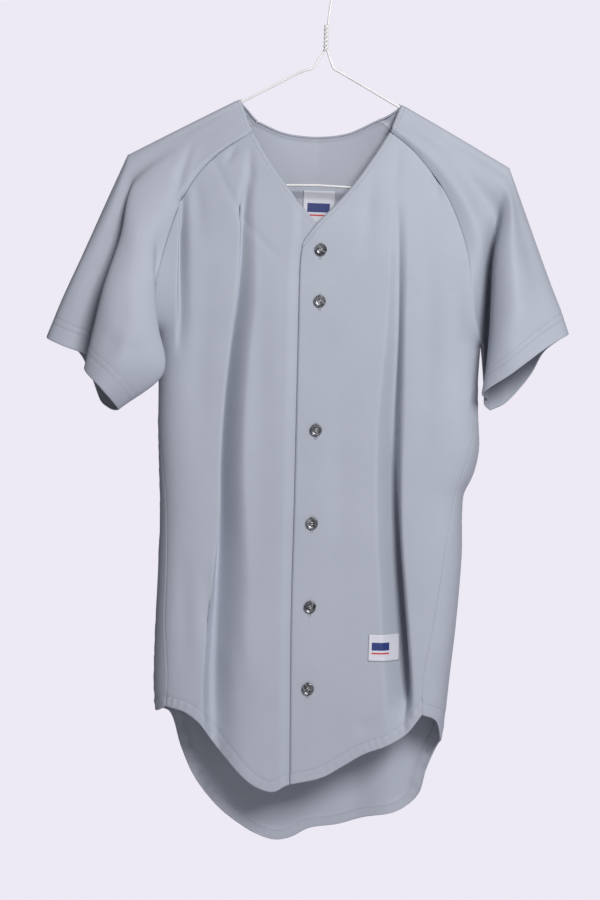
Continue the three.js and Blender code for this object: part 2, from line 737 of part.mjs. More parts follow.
// One wire: from its end at the top of the twist, down the left shoulder, along the bar,
// up the right shoulder, back through the twist and round the hook
function hangerPath() {
  const { joint, halfTop, tipX, tipZ, barX, barZ, corner, hookRadius, stemX } = HANGER;
  const slope = THREE.MathUtils.radToDeg(Math.atan2(joint - 1 - tipZ, tipX - halfTop));
  const leftTip = arc(-tipX + corner, tipZ - corner + 1, corner, 90 + slope, 235, 5);
  const rightTip = arc(tipX - corner, tipZ - corner + 1, corner, -55, 90 - slope, 5);
  const hook = arc(0, WIRE.radius - hookRadius, hookRadius, -48, 205, 15);
  return [
    ...twist(Math.PI, true),
    new THREE.Vector3(-3.6, 0, joint + 12),
    new THREE.Vector3(-9, 0, joint + 3),
    new THREE.Vector3(-halfTop, 0, joint - 1),
    new THREE.Vector3(-halfTop - 40, 0, joint - 1 - 40 * Math.tan(THREE.MathUtils.degToRad(slope))),
    ...leftTip,
    new THREE.Vector3(-barX, 0, barZ),
    new THREE.Vector3(0, 0, barZ),
    new THREE.Vector3(barX, 0, barZ),
    ...rightTip,
    new THREE.Vector3(halfTop + 40, 0, joint - 1 - 40 * Math.tan(THREE.MathUtils.degToRad(slope))),
    new THREE.Vector3(halfTop, 0, joint - 1),
    new THREE.Vector3(13, 0, joint + 3),
    new THREE.Vector3(9, 0, joint + 12),
    ...twist(0, false),
    new THREE.Vector3(stemX + 2, 0, -59),
    new THREE.Vector3(stemX + 3.8, 0, -43),
    new THREE.Vector3(stemX + 5.6, 0, -36.6),
    ...hook,
  ];
}

function wireGeometry() {
  const path = new WireCurve(hangerPath(), false, 'centripetal');
  const section = new THREE.Shape();
  for (let k = 0; k < WIRE.sides; k += 1) {
    const angle = (2 * Math.PI * k) / WIRE.sides;
    const x = WIRE.radius * Math.cos(angle);
    const y = WIRE.radius * Math.sin(angle);
    if (k === 0) section.moveTo(x, y);
    else section.lineTo(x, y);
  }
  const steps = path.points.length - 1;
  return new THREE.ExtrudeGeometry(section, { steps, extrudePath: path });
}

// Cloth panels
const fabric = new THREE.MeshStandardMaterial({ color: FABRIC_COLOR, roughness: 0.8, metalness: 0 });
const leftEdge = outerEdge(RAGLAN.frontLeft, SIDES.left, false);
const rightEdge = outerEdge(RAGLAN.frontRight, SIDES.right, false);
const backHem = [...HEM.wrapLeft, ...HEM.back, ...HEM.wrapRight];
const rowsBody = ROWS_RAGLAN + ROWS_SIDE;

const frontLeft = {
  name: 'front_left',
  outward: -1,
  grid: panelGrid({
    top: NECKLINE.left, bottom: HEM.left, left: leftEdge, right: spaced(PLACKET.under, rowsBody),
  }, [
    { columns: 3, line: foldLine(FRONT_FOLDS, 'left groove', 'left'), low: 0.12 },
    { columns: 3, line: foldLine(FRONT_FOLDS, 'left groove', 'floor'), low: 0.24 },
    { columns: 3, line: foldLine(FRONT_FOLDS, 'left groove', 'right'), low: 0.38 },
    { columns: 8 },
  ], underPoint),
};
const frontRight = {
  name: 'front_right',
  outward: -1,
  grid: panelGrid({
    top: NECKLINE.right, bottom: HEM.right, left: spaced(PLACKET.over, rowsBody), right: rightEdge,
  }, [
    { columns: 6, line: foldLine(FRONT_FOLDS, 'right groove', 'left'), high: 0.54 },
    { columns: 4, line: foldLine(FRONT_FOLDS, 'right groove', 'floor'), high: 0.76 },
    { columns: 3, line: foldLine(FRONT_FOLDS, 'right groove', 'right'), high: 0.88 },
    { columns: 5 },
  ], frontPoint),
};
const back = {
  name: 'back',
  outward: 1,
  grid: panelGrid({
    top: NECKLINE.back,
    bottom: backHem,
    left: outerEdge(RAGLAN.backLeft, SIDES.left, true),
    right: outerEdge(RAGLAN.backRight, SIDES.right, true),
  }, [
    { columns: 9, line: foldLine(BACK_FOLDS, 'back left groove', 'floor'), low: 0.2 },
    { columns: 14, line: foldLine(BACK_FOLDS, 'back right groove', 'floor'), high: 0.76 },
    { columns: 10 },
  ], wrapPoint),
};
const lay = (points, place) => points.map(({ x, z }) => place(x, z));
const sleeveLeft = {
  name: 'sleeve_left',
  outward: 1,
  grid: sleeveGrid(SLEEVE_LEFT,
    lay(leftEdge, frontPoint), lay(spaced(RAGLAN.backLeft, ROWS_RAGLAN), backPoint)),
};
const sleeveRight = {
  name: 'sleeve_right',
  outward: -1,
  grid: sleeveGrid(SLEEVE_RIGHT,
    lay(rightEdge, frontPoint), lay(spaced(RAGLAN.backRight, ROWS_RAGLAN), backPoint)),
};
const panels = [frontLeft, frontRight, back, sleeveLeft, sleeveRight];
for (const panel of panels) panel.normals = gridNormals(panel.grid, panel.outward);
shareNormals(panels);
for (const panel of panels) {
  openSeams(panel.grid);
  addPiece(panel.name, wallGeometry(panel.grid, panel.normals, WALL, panel.outward), fabric);
}

// Buttons and labels
const shell = new THREE.MeshStandardMaterial({ color: BUTTON_COLOR, roughness: 0.3, metalness: 0.2 });
BUTTON_CENTRES.forEach(([x, z], i) => {
  const { point, normal } = pointOnPanel(frontRight, x, z, 'outer');
  const button = addPiece(`button_${i + 1}`, buttonGeometry(), shell);
  button.position.copy(point).addScaledVector(normal, LAY_GAP);
  button.quaternion.setFromUnitVectors(new THREE.Vector3(0, 1, 0), normal);
});
const tape = new THREE.MeshStandardMaterial({ color: LABEL_COLOR, roughness: 0.7, metalness: 0 });
addPiece('neck_label', labelGeometry(back, NECK_LABEL, 'inner'), tape);
addPiece('hem_label', labelGeometry(frontRight, HEM_LABEL, 'outer'), tape);

// Hanger
const wire = new THREE.MeshStandardMaterial({ color: WIRE_COLOR, roughness: 0.4, metalness: 0.1 });
addPiece('hanger', wireGeometry(), wire);

export default garment;
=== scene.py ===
# Button-front baseball shirt with raglan short sleeves and a shirt-tail hem, on a wire hanger.
# Shapes are worked out in millimetres and turned into metres where a mesh is made.
# x runs to the right, z up, and the front faces -y, as in the solids.
import math

import bpy
import numpy as np
from mathutils import Matrix, Vector
from mathutils.bvhtree import BVHTree


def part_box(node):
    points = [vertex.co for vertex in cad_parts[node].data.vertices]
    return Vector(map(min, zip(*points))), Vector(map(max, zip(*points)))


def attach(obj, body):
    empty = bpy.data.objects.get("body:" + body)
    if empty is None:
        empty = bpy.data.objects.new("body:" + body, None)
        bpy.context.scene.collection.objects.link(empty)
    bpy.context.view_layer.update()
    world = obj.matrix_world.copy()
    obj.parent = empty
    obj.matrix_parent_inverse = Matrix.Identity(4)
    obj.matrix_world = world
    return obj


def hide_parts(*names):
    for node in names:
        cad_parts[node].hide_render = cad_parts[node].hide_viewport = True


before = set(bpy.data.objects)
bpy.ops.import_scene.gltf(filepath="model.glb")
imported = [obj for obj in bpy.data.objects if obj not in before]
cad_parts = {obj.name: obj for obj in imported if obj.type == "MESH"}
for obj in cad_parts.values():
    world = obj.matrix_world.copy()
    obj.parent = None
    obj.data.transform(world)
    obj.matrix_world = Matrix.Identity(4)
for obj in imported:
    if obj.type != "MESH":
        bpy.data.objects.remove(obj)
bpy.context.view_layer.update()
scene = bpy.context.scene

# Camera
lens = bpy.data.cameras.new("camera")
lens.sensor_width = 36
lens.lens = 75.47
camera = bpy.data.objects.new("camera", lens)
camera.location = (-0.0095, -2.0, -0.517)
TILT = 1.9
level = Vector((0, 1, 0)).to_track_quat("-Z", "Y").to_matrix()
camera.rotation_euler = (level @ Matrix.Rotation(math.radians(TILT), 3, "Z")).to_euler()
scene.collection.objects.link(camera)
scene.camera = camera

# Sizes that the solids share
ROWS_RAGLAN = 10
ROWS_SIDE = 16
ROWS_CUFF = 5
ROWS_BODY = ROWS_RAGLAN + ROWS_SIDE
FRONT = {"depth": 50, "slope": 0.35, "side_top": 42, "side_hem": 50}
BACK = {"depth": 32, "slope": 0.34, "side_top": 26, "side_hem": 34}
SIDE_ROUND = 60
HEM_LEVEL = -800
NECK_POINT = np.array([85, -146.8])
HANGER_TIP = np.array([202.5, -211])

# Outline below the arms: z, the edge seen from the front, and the side seam's inset from it
SIDE_LEFT = [
    (-402, -166, 0), (-440, -162.5, 0.4), (-494, -161, 1.5), (-533, -159, 5.5), (-586, -156, 9),
    (-640, -156, 11), (-702, -157, 12), (-757, -157, 17), (-789, -155.2, 14), (-800, -154, 14),
]
SIDE_RIGHT = [
    (-402, 178, 0), (-440, 177, 1), (-477, 178.4, 4.5), (-510, 180.3, 11), (-537, 175, 14),
    (-560, 165.5, 11), (-622, 165.6, 20.5), (-692, 162, 26), (-750, 157, 30.5), (-789, 154, 27),
    (-818, 150.8, 24),
]
EDGE, INSET = 1, 2

# Seams and edges as (x, z) points, from the neck outwards or from left to right
RAGLAN_FRONT_LEFT = [
    (-70, -183), (-104, -207), (-125, -229), (-142, -259), (-154, -294), (-166, -351), (-166, -402),
]
RAGLAN_FRONT_RIGHT = [
    (74, -178), (95, -194), (114, -214), (136, -244.5), (158, -300), (169, -373), (178, -402),
]
RAGLAN_BACK_LEFT = [(-66, -168.5), (-100, -196), (-128, -232), (-148, -280), (-160, -335), (-166, -402)]
RAGLAN_BACK_RIGHT = [(62, -163), (98, -192), (130, -230), (152, -280), (168, -335), (178, -402)]
NECK_LEFT = [(-70, -183), (-53.4, -211), (-32.3, -240.2), (-14.9, -262.1), (1.3, -280), (20, -301)]
NECK_RIGHT = [(-13.8, -297.8), (-1.1, -280.5), (18.1, -259.6), (35.8, -238.2), (55.2, -209.5), (74, -178)]
NECK_BACK = [(-66, -168.5), (-38, -179.1), (-3.8, -182), (30.1, -177.6), (62, -163)]
PLACKET_OVER = [(-13.8, -297.8), (-16, -318), (-15.6, -403), (-14, -569), (-13.2, -693), (-8.8, -865.5)]
PLACKET_UNDER = [(20, -301), (26, -330), (27, -560), (28, -760), (30, -852)]
HEM_FRONT_LEFT = [
    (-141.2, -789), (-119.8, -794.5), (-98, -811.9), (-78.6, -836.9), (-59, -858.8), (-42, -870.3),
    (-26, -873.8), (-12, -867), (10, -860), (30, -852),
]
HEM_FRONT_RIGHT = [
    (-8.8, -865.5), (24.6, -857), (45, -845), (68, -831), (91, -822), (110, -809.6), (127, -789),
]
HEM_BACK = [
    (-169.2, -789), (-157, -796), (-141.2, -800), (-126.2, -840.1), (-111, -871.3), (-91, -895),
    (-66.3, -916), (-44.3, -929.4), (-22.5, -935.6), (-5.7, -932.2), (13.2, -922), (44.2, -916.6),
    (72.8, -907.6), (108.6, -899.2), (129.3, -881.8), (137.3, -853.6), (150.8, -820), (165, -795),
    (181, -789),
]

# Long folds: z, x of the floor, depth, the width of each side, and how far the floor is drawn
# sideways, under the lobe on its right, or on its left where it is negative
FOLD_X, FOLD_DEPTH, FOLD_LEFT, FOLD_RIGHT, UNDERCUT = 1, 2, 3, 4, 5
LEFT_GROOVE = [
    (-240, -75, 0, 5, 9, 0), (-290, -75.5, 6, 5, 13, -2), (-321, -74.5, 9, 5, 14, -3.5),
    (-363, -76, 14, 5, 17, -5), (-405, -79, 18, 6, 16, -7), (-467, -82, 22, 8, 16, -9),
    (-530, -84, 25, 8, 18, -9), (-591, -83, 26, 8, 21, -9), (-653, -84, 24, 12, 27, -8),
    (-716, -85, 22, 15, 28, -7), (-778, -86, 18, 18, 30, -5), (-850, -82, 8, 18, 30, -2),
]
RIGHT_GROOVE = [
    (-245, 84, 0, 8, 10, 0), (-303, 86, 4, 9, 11, 1), (-381, 86, 9, 10, 12, 3), (-430, 84, 13, 11, 15, 5),
    (-483, 82, 17, 12, 18, 7), (-545, 82, 22, 11.5, 18, 10.5), (-607, 84.5, 26, 11, 18, 15),
    (-669, 89.3, 29, 10.7, 20, 17), (-731, 96, 29, 13.3, 20, 17), (-765, 101, 22, 15, 18, 12),
    (-792, 105, 7, 17, 16, 3), (-822, 107, 0.5, 18, 16, 0),
]
ARMHOLE_FOLD = [
    (-246, -142, 0, 3, 7, 0), (-262, -141, 4, 3.5, 8, -1.5), (-300, -140, 8, 4, 10, -3),
    (-340, -139, 7, 5, 11, -2.5), (-380, -138, 4, 6, 12, -1), (-425, -138, 0, 7, 14, 0),
]
BACK_LEFT_GROOVE = [
    (-240, -88, 0, 22, 26, 0), (-420, -92, 8, 26, 34, 0), (-700, -84, 11, 30, 40, 0),
    (-930, -78, 6, 30, 40, 0),
]
BACK_RIGHT_GROOVE = [
    (-260, 70, 0, 26, 22, 0), (-460, 76, 9, 34, 26, 0), (-720, 92, 12, 40, 28, 0),
    (-930, 98, 5, 40, 28, 0),
]
FLOOR_ROUND = 0.15
LEAST_DEPTH = 3
UNDERLAP = {"depth": 2.2, "before": 11, "width": 9}
FRONT_FOLDS = [LEFT_GROOVE, RIGHT_GROOVE, ARMHOLE_FOLD]
BACK_FOLDS = [BACK_LEFT_GROOVE, BACK_RIGHT_GROOVE]

# Sleeves: lines from the neck to the hem, from the front seam over the shoulder to the back seam.
# Each has its corner at the hanger's tip, from 0, smooth, to 1, sharp, and its points at the neck,
# yoke, tip, upper arm, arm, fold and hem.
STATION_ROWS = [0, 3, 6, 8, 10, 12, 15]
TIP_STATION = 2
UNDERARM_LEFT = [(-185, -4, -436), (-212, -8, -480)]
SLEEVE_LEFT = {
    "inner side": (0, [
        (-71.4, -12.2, -179.5), (-129.5, -17, -229), (-161.5, -27, -299), (-168.5, -26, -350),
        (-174, -23, -398), (-173, -24, -443), (-206, -22, -482)]),
    "inner fold": (0, [
        (-74, -11, -175), (-131.5, -15.5, -220), (-168, -31, -290), (-167, -40, -340),
        (-161, -45, -390), (-153, -43, -440), (-200, -39, -481)]),
    "lobe front": (0, [
        (-77, -9, -168), (-134, -13, -209), (-181, -29, -270), (-187, -45, -325),
        (-191, -59, -380), (-195, -62, -426), (-217, -59, -460)]),
    "lobe edge": (0.3, [
        (-79, -7, -162), (-136, -10, -199), (-194.5, -20, -248), (-204.5, -32, -302),
        (-219, -46, -356), (-229, -48, -405), (-236.5, -46, -440)]),
    "valley": (0.3, [
        (-81, -5.2, -157), (-137.5, -7.5, -191), (-194, -10, -236), (-200, -13, -289),
        (-207, -11, -341), (-213, -8, -388), (-219, -8, -431)]),
    "outer lobe": (0.7, [
        (-83, -4, -153), (-139, -4.8, -184), (-200.5, -6.5, -221), (-219, -13, -277),
        (-238, -16, -331), (-252, -18, -375), (-262, -18, -416)]),
    "ridge front": (1, [
        (-84.6, -3.2, -149.4), (-140.2, -3.2, -179), (-201.5, -3.2, -213), (-223.5, -8, -269),
        (-246, -12.5, -325), (-263.5, -14, -368), (-278.5, -14, -409)]),
    "ridge": (1, [
        (-85, 0, -146.8), (-140.6, 0, -176.8), (-202.5, 0, -210.6), (-225.5, 0, -266),
        (-248, 0, -322), (-266, -1, -365), (-281.5, -3, -406.5)]),
    "ridge back": (1, [
        (-84.6, 3.2, -149.4), (-140.2, 3.2, -179), (-201.5, 3.4, -213.4), (-223.5, 7, -269),
        (-245, 9, -326), (-262, 10, -369), (-276, 8, -408.5)]),
    "back outer": (0.7, [
        (-81, 4.2, -153), (-138, 6, -190), (-195, 10, -231), (-213, 17, -288),
        (-233, 19, -344), (-246, 20, -386), (-251, 18, -419)]),
    "back upper": (0.3, [
        (-76, 5.6, -158), (-135, 9.5, -203), (-184, 18, -256), (-200, 24, -311),
        (-216, 27, -366), (-226, 26, -410), (-236, 17, -444)]),
    "back lower": (0, [
        (-71, 7.5, -163.5), (-131, 12.5, -218), (-167, 23, -276), (-177, 26, -333),
        (-188, 25, -388), (-202, 21, -430), (-223, 7, -472)]),
}
UNDERARM_RIGHT = [(181, -5, -429), (189, -9, -469)]
SLEEVE_RIGHT = {
    "shoulder face": (0, [
        (76, -11.5, -173), (129, -17, -216), (171, -24, -282), (176.5, -17, -335),
        (179.5, -7, -398), (181, -11, -430), (182, -16, -463)]),
    "valley": (0.2, [
        (78, -9, -167), (133, -13, -204), (186, -10, -262), (187, 1, -318),
        (187.5, 2, -390), (186.5, -6, -424), (184.5, -18, -458)]),
    "lobe edge": (0.3, [
        (80, -7, -162), (135.5, -10, -198), (194, -14, -245), (187.5, -35, -308),
        (184.5, -46, -388), (181.5, -46, -421), (177, -46, -452)]),
    "lobe front": (0.3, [
        (81.5, -5.2, -157.5), (137.5, -7.6, -191), (198, -14, -235), (203, -43, -296),
        (207, -61, -371), (206, -61, -403), (205, -60, -432)]),
    "lobe outer": (0.7, [
        (83, -4, -153), (139, -4.8, -184), (200.8, -6, -221), (216, -27, -283),
        (233, -46, -352), (239, -50, -378), (242, -53, -403)]),
    "ridge front": (1, [
        (84.6, -3.2, -149.4), (140.2, -3.2, -179), (201.6, -3.2, -213.6), (223.5, -17, -277),
        (245, -32, -339), (255.5, -38, -365), (263, -43, -389.5)]),
    "ridge": (1, [
        (85, 0, -146.8), (140.6, 0, -176.8), (202.5, 0, -211), (225.5, -9, -274),
        (248, -22, -336), (258, -28, -362), (266.5, -34, -387.5)]),
    "ridge back": (1, [
        (84.6, 3.2, -149.4), (140.2, 3.2, -179), (201.6, 3.4, -213.8), (222.5, -1, -279),
        (244, -9, -342), (253, -14, -368), (259.5, -19, -392.5)]),
    "back outer": (0.7, [
        (80, 4.2, -153), (138, 6, -190), (195, 10, -233), (213, 8, -297),
        (233, 2, -358), (240, -2, -384), (245, -9, -405)]),
    "back upper": (0.3, [
        (74, 5.8, -157), (134.5, 9.5, -203), (187, 17, -255), (203, 17, -314),
        (220, 12, -375), (226, 9, -403), (233, 3, -429)]),
    "back lower": (0, [
        (67.5, 7.5, -160.5), (130, 12.5, -217), (170, 23, -278), (183, 21, -336),
        (197, 14, -394), (203, 11, -427), (208, 4, -459)]),
}

# Small creases of the hanging cloth, as x, z, depth and half width
CREASES_FRONT_LEFT = [
    [(-129, -176, 0, 3), (-112, -211.6, 0.7, 3), (-96, -242.7, 0.7, 3), (-75.8, -278.4, 0.7, 3),
     (-53, -303, 0.6, 3), (-28.6, -324.7, 0, 3)],
    [(-86, -196, 0, 4), (-92, -208, 1.6, 4), (-97, -221, 0, 4)],
    [(-72, -198, 0, 4), (-72, -230, 2.4, 5), (-76, -256, 2.4, 6), (-77, -285, 0, 7)],
    [(-130, -230, 0, 5), (-124, -262, 1.4, 7), (-122, -310, 0, 9)],
    [(-56, -300, 0, 8), (-55, -420, 1.6, 13), (-50, -560, 1.2, 15), (-48, -700, 0, 15)],
    [(-112, -320, 0, 9), (-116, -440, 1.8, 14), (-112, -560, 0, 14)],
    [(-104, -640, 0, 7), (-98, -690, 2.2, 9), (-88, -760, 1.8, 10), (-80, -820, 0, 10)],
    [(-128, -600, 0, 8), (-124, -700, 1.6, 10), (-122, -770, 0, 9)],
    [(-66, -700, 0, 6), (-60, -770, 1.4, 8), (-58, -850, 0, 8)],
]
CREASES_FRONT_RIGHT = [
    [(121, -216, 0, 4), (124, -232, 2.6, 5), (129, -256, 0, 6)],
    [(84, -190, 0, 5), (82, -215, 1.4, 6), (80, -250, 0, 7)],
    [(60, -215, 0, 6), (54, -260, 1.6, 8), (52, -330, 0, 10)],
    [(118, -300, 0, 8), (122, -420, 1.5, 12), (124, -560, 0, 12)],
    [(150, -330, 0, 6), (154, -400, 1.8, 8), (156, -480, 0, 9)],
    [(34, -420, 0, 12), (32, -560, 1.3, 16), (36, -700, 0, 16)],
    [(58, -812, 0, 5), (66, -804, 1.6, 7), (84, -794, 0, 6)],
]
CREASES_BACK = [
    [(-40, -290, 0, 8), (-34, -390, 1.6, 14), (-30, -520, 0, 16)],
    [(24, -290, 0, 8), (22, -400, 1.8, 14), (28, -600, 1.6, 18), (30, -760, 0, 18)],
    [(-112, -300, 0, 8), (-124, -420, 2.2, 12), (-122, -560, 0, 12)],
    [(128, -300, 0, 8), (136, -430, 2.4, 12), (132, -600, 0, 12)],
    [(-20, -600, 0, 12), (-24, -720, 1.8, 16), (-20, -880, 0, 14)],
    [(-92, -190, 0, 4), (-104, -224, 1.8, 6), (-112, -262, 0, 7)],
    [(84, -186, 0, 4), (96, -220, 1.8, 6), (102, -262, 0, 7)],
]
CREASES_SLEEVE_LEFT = [
    [(-133, -194, 0, 3), (-143, -226, 2.2, 5), (-149, -258, 1.6, 5), (-152, -276, 0, 5)],
    [(-198, -398, 0, 4), (-206, -412, 1.8, 6), (-214, -430, 0, 5)],
    [(-176, -406, 0, 4), (-184, -420, 1.8, 6), (-192, -440, 0, 5)],
    [(-196, -350, 0, 6), (-198, -384, 1.2, 8), (-196, -410, 0, 7)],
    [(-206, -250, 0, 4), (-218, -300, 1.2, 7), (-232, -350, 0, 8)],
]
CREASES_SLEEVE_RIGHT = [
    [(150, -205, 0, 6), (168, -244, 1.2, 9), (178, -290, 0, 9)],
    [(212, -260, 0, 5), (226, -310, 1.2, 8), (238, -364, 0, 8)],
    [(208, -350, 0, 7), (212, -394, 1.0, 9), (214, -426, 0, 8)],
]

# Cloth and its edges
CLOTH = 0.9
TURNED = 1.7
HEM_BODY = 11.5
HEM_SLEEVE = 24
HEM_SLEEVE_INNER = 17
NECK_BAND = 4
NECK_STITCHES = NECK_BAND + 0.8
NECK_ROLL = (3.2, 2.2)
HEM_ROLL = (1.5, 0.7)
PLACKET_ROLL = (2.6, 1.8)
SEAM_LINE = (0, 1.0, 0.3)
NECK_LINE = (NECK_BAND, 1.0, 0.6)
PAST_CORNER = 20
EDGE_STEPS = np.array([0.45, 0.9, 1.5, 2.3, 3.4])
ROW_LENGTH = {"neck": 25, "hem": 24, "cuff": 18}
FINE = 320
STEPS = 7
SLEEVE_STEPS = 8
CURVE_SAMPLES = 401
STITCH = {"pitch": 2.6, "length": 2.1, "height": 0.4}
THREAD_WIDTH = 0.42
THREAD_SIDES = 5
# A thread's tips and rings: shift along it, size and lift, as shares of its sizes
THREAD_RINGS = ((-0.5, 0, 0), (-0.3, 0.9, 0.6), (0, 1, 1), (0.3, 0.9, 0.6), (0.5, 0, 0))


# Curves and tables

def curve(points, t):
    """Points on a smooth centripetal curve at parameters t from 0 to 1."""
    points = np.asarray(points, float)
    ends = np.vstack([2 * points[0] - points[1], points, 2 * points[-1] - points[-2]])
    place = np.clip(np.atleast_1d(np.asarray(t, float)), 0, 1) * (len(points) - 1)
    start = np.minimum(place.astype(int), len(points) - 2)
    w = (place - start)[:, None]
    p0, p1, p2, p3 = (ends[start + k] for k in range(4))
    d0, d1, d2 = (np.sqrt(np.maximum(np.linalg.norm(b - a, axis=1, keepdims=True), 1e-4))
                  for a, b in ((p0, p1), (p1, p2), (p2, p3)))
    m1 = d1 * ((p1 - p0) / d0 - (p2 - p0) / (d0 + d1) + (p2 - p1) / d1)
    m2 = d1 * ((p2 - p1) / d1 - (p3 - p1) / (d1 + d2) + (p3 - p2) / d2)
    return p1 + m1 * w + (3 * (p2 - p1) - 2 * m1 - m2) * w**2 + (2 * (p1 - p2) + m1 + m2) * w**3


def reach(points, axis=0):
    """Length from the first point to each one, along a line or along one axis of a grid."""
    steps = np.linalg.norm(np.diff(points, axis=axis), axis=-1)
    return np.insert(np.cumsum(steps, axis=axis), 0, 0, axis=axis)


def at_lengths(line, lengths):
    """Values of a line of points at lengths along its first three columns."""
    along = reach(line[:, :3])
    return np.stack([np.interp(lengths, along, column) for column in line.T], axis=1)


def at_fractions(points, t):
    """Points at even fractions of the curve's length."""
    line = curve(points, np.linspace(0, 1, CURVE_SAMPLES))
    return at_lengths(line, t * reach(line)[-1])


def read(table, column, z):
    """A table's column at height z, with smooth tangents. Rows run downwards and start with z."""
    table = np.asarray(table, float)
    heights, values = table[:, 0], table[:, column]
    z = np.clip(z, heights[-1], heights[0])
    slopes = np.empty_like(values)
    slopes[1:-1] = (values[2:] - values[:-2]) / (heights[2:] - heights[:-2])
    slopes[0] = (values[1] - values[0]) / (heights[1] - heights[0])
    slopes[-1] = (values[-1] - values[-2]) / (heights[-1] - heights[-2])
    i = np.clip(np.searchsorted(-heights, -z, side="right") - 1, 0, len(heights) - 2)
    span = heights[i + 1] - heights[i]
    t = (z - heights[i]) / span
    s = 1 - t
    return (values[i] * (1 + 2 * t) * s * s + values[i + 1] * (1 + 2 * s) * t * t
            + slopes[i] * span * t * s * s - slopes[i + 1] * span * s * t * t)


def smooth_step(t):
    c = np.clip(t, 0, 1)
    return c * c * (3 - 2 * c)


def step_down(distance, at, width):
    """1 before a distance, 0 after it, over a soft edge."""
    return 1 - smooth_step((distance - at) / width + 0.5)


def soft_min(a, b):
    return a * b / np.maximum((a**4 + b**4) ** 0.25, 1e-6)


def unit(vectors):
    return vectors / np.maximum(np.linalg.norm(vectors, axis=-1, keepdims=True), 1e-9)


def to_path(points, path):
    """Distance from (x, z) points to a path, and each path column at the nearest place."""
    path = np.asarray(path, float)
    best = np.full(points.shape[:-1], np.inf)
    values = np.zeros(points.shape[:-1] + (path.shape[1],))
    for a, b in zip(path[:-1], path[1:]):
        step = b[:2] - a[:2]
        t = np.clip(((points - a[:2]) @ step) / (step @ step), 0, 1)
        away = np.linalg.norm(points - a[:2] - t[..., None] * step, axis=-1)
        nearer = away < best
        best = np.where(nearer, away, best)
        values[nearer] = (a + t[..., None] * (b - a))[nearer]
    return best, values


# The hanging body, as depths from the hanger's plane

def from_shoulder(x, z):
    slope = HANGER_TIP - NECK_POINT
    dx, dz = np.abs(x) - NECK_POINT[0], z - NECK_POINT[1]
    t = np.clip((dx * slope[0] + dz * slope[1]) / (slope @ slope), 0, 1)
    return np.hypot(dx - t * slope[0], dz - t * slope[1])


def fold_share(fold, x, z):
    """1 on a fold's floor, easing to 0 at its sides."""
    away = x - read(fold, FOLD_X, z)
    width = np.where(away < 0, read(fold, FOLD_LEFT, z), read(fold, FOLD_RIGHT, z))
    soft = np.hypot(away / width, FLOOR_ROUND) - FLOOR_ROUND
    height = np.clip(1 - soft / (math.hypot(1, FLOOR_ROUND) - FLOOR_ROUND), 0, 1)
    return np.where(away < 0, smooth_step(height), height**2)


def from_side(side, x, z):
    arm_z, arm_x = side[0][0], side[0][EDGE]
    return np.where(z > arm_z, np.hypot(x - arm_x, z - arm_z), np.abs(x - read(side, EDGE, z)))


def fold_shift(folds, column, x, z):
    """How far the folds draw the cloth back (FOLD_DEPTH) or sideways (UNDERCUT)."""
    return sum(read(fold, column, z) * fold_share(fold, x, z) for fold in folds)


def stand_off(sheet, folds, x, z):
    down = smooth_step((SIDE_LEFT[0][0] - z) / (SIDE_LEFT[0][0] - HEM_LEVEL))
    side_depth = sheet["side_top"] + (sheet["side_hem"] - sheet["side_top"]) * down
    depth = sheet["depth"] * (1 - np.exp(-sheet["slope"] * from_shoulder(x, z) / sheet["depth"]))
    for side in (SIDE_LEFT, SIDE_RIGHT):
        near = np.minimum(from_side(side, x, z) / SIDE_ROUND, 1)
        depth = soft_min(depth, side_depth * np.sqrt(1 - (1 - near) ** 2))
    folded = depth - np.maximum(fold_shift(folds, FOLD_DEPTH, x, z), 0)
    return np.maximum(folded, np.minimum(depth, LEAST_DEPTH))


def front_place(x, z):
    sideways = fold_shift(FRONT_FOLDS, UNDERCUT, x, z)
    return np.stack([x + sideways, -stand_off(FRONT, FRONT_FOLDS, x, z), z], axis=-1)


def back_place(x, z):
    return np.stack([x, stand_off(BACK, BACK_FOLDS, x, z), z], axis=-1)


def under_place(x, z):
    """The left front, which dips under the right one along the placket."""
    over = at_fractions(PLACKET_OVER, np.linspace(0, 1, 121))
    edge = np.interp(-z, -over[:, 1], over[:, 0])
    points = front_place(x, z)
    behind = smooth_step((x - edge + UNDERLAP["before"]) / UNDERLAP["width"])
    points[..., 1] += UNDERLAP["depth"] * behind
    return points


def wrap_place(x, z):
    """The back, wrapped round the side edges to the seams on the front."""
    left = read(SIDE_LEFT, EDGE, z)
    right = read(SIDE_RIGHT, EDGE, z)
    below = z <= SIDE_LEFT[0][0]
    points = back_place(x, z)
    for beyond, mirror in ((below & (x < left), 2 * left - x), (below & (x > right), 2 * right - x)):
        points[beyond] = front_place(mirror, z)[beyond]
    return points


# Panels: grids of points whose rows run across and columns down

def outer_edge(raglan, side, foot, unwrapped):
    """A panel's outer edge as a function of the row: the raglan seam, then the side seam."""
    outward = np.sign(side[0][EDGE]) * (1 if unwrapped else -1)

    def place(rows):
        seam = at_fractions(raglan, np.minimum(rows / ROWS_RAGLAN, 1))
        z = side[0][0] + (foot - side[0][0]) * np.maximum(rows - ROWS_RAGLAN, 0) / ROWS_SIDE
        x = read(side, EDGE, z) + outward * read(side, INSET, z)
        return np.where((rows <= ROWS_RAGLAN)[:, None], seam, np.stack([x, z], axis=1))

    return place


def plain_edge(points, rows_in_all=ROWS_BODY):
    return lambda rows: at_fractions(points, rows / rows_in_all)


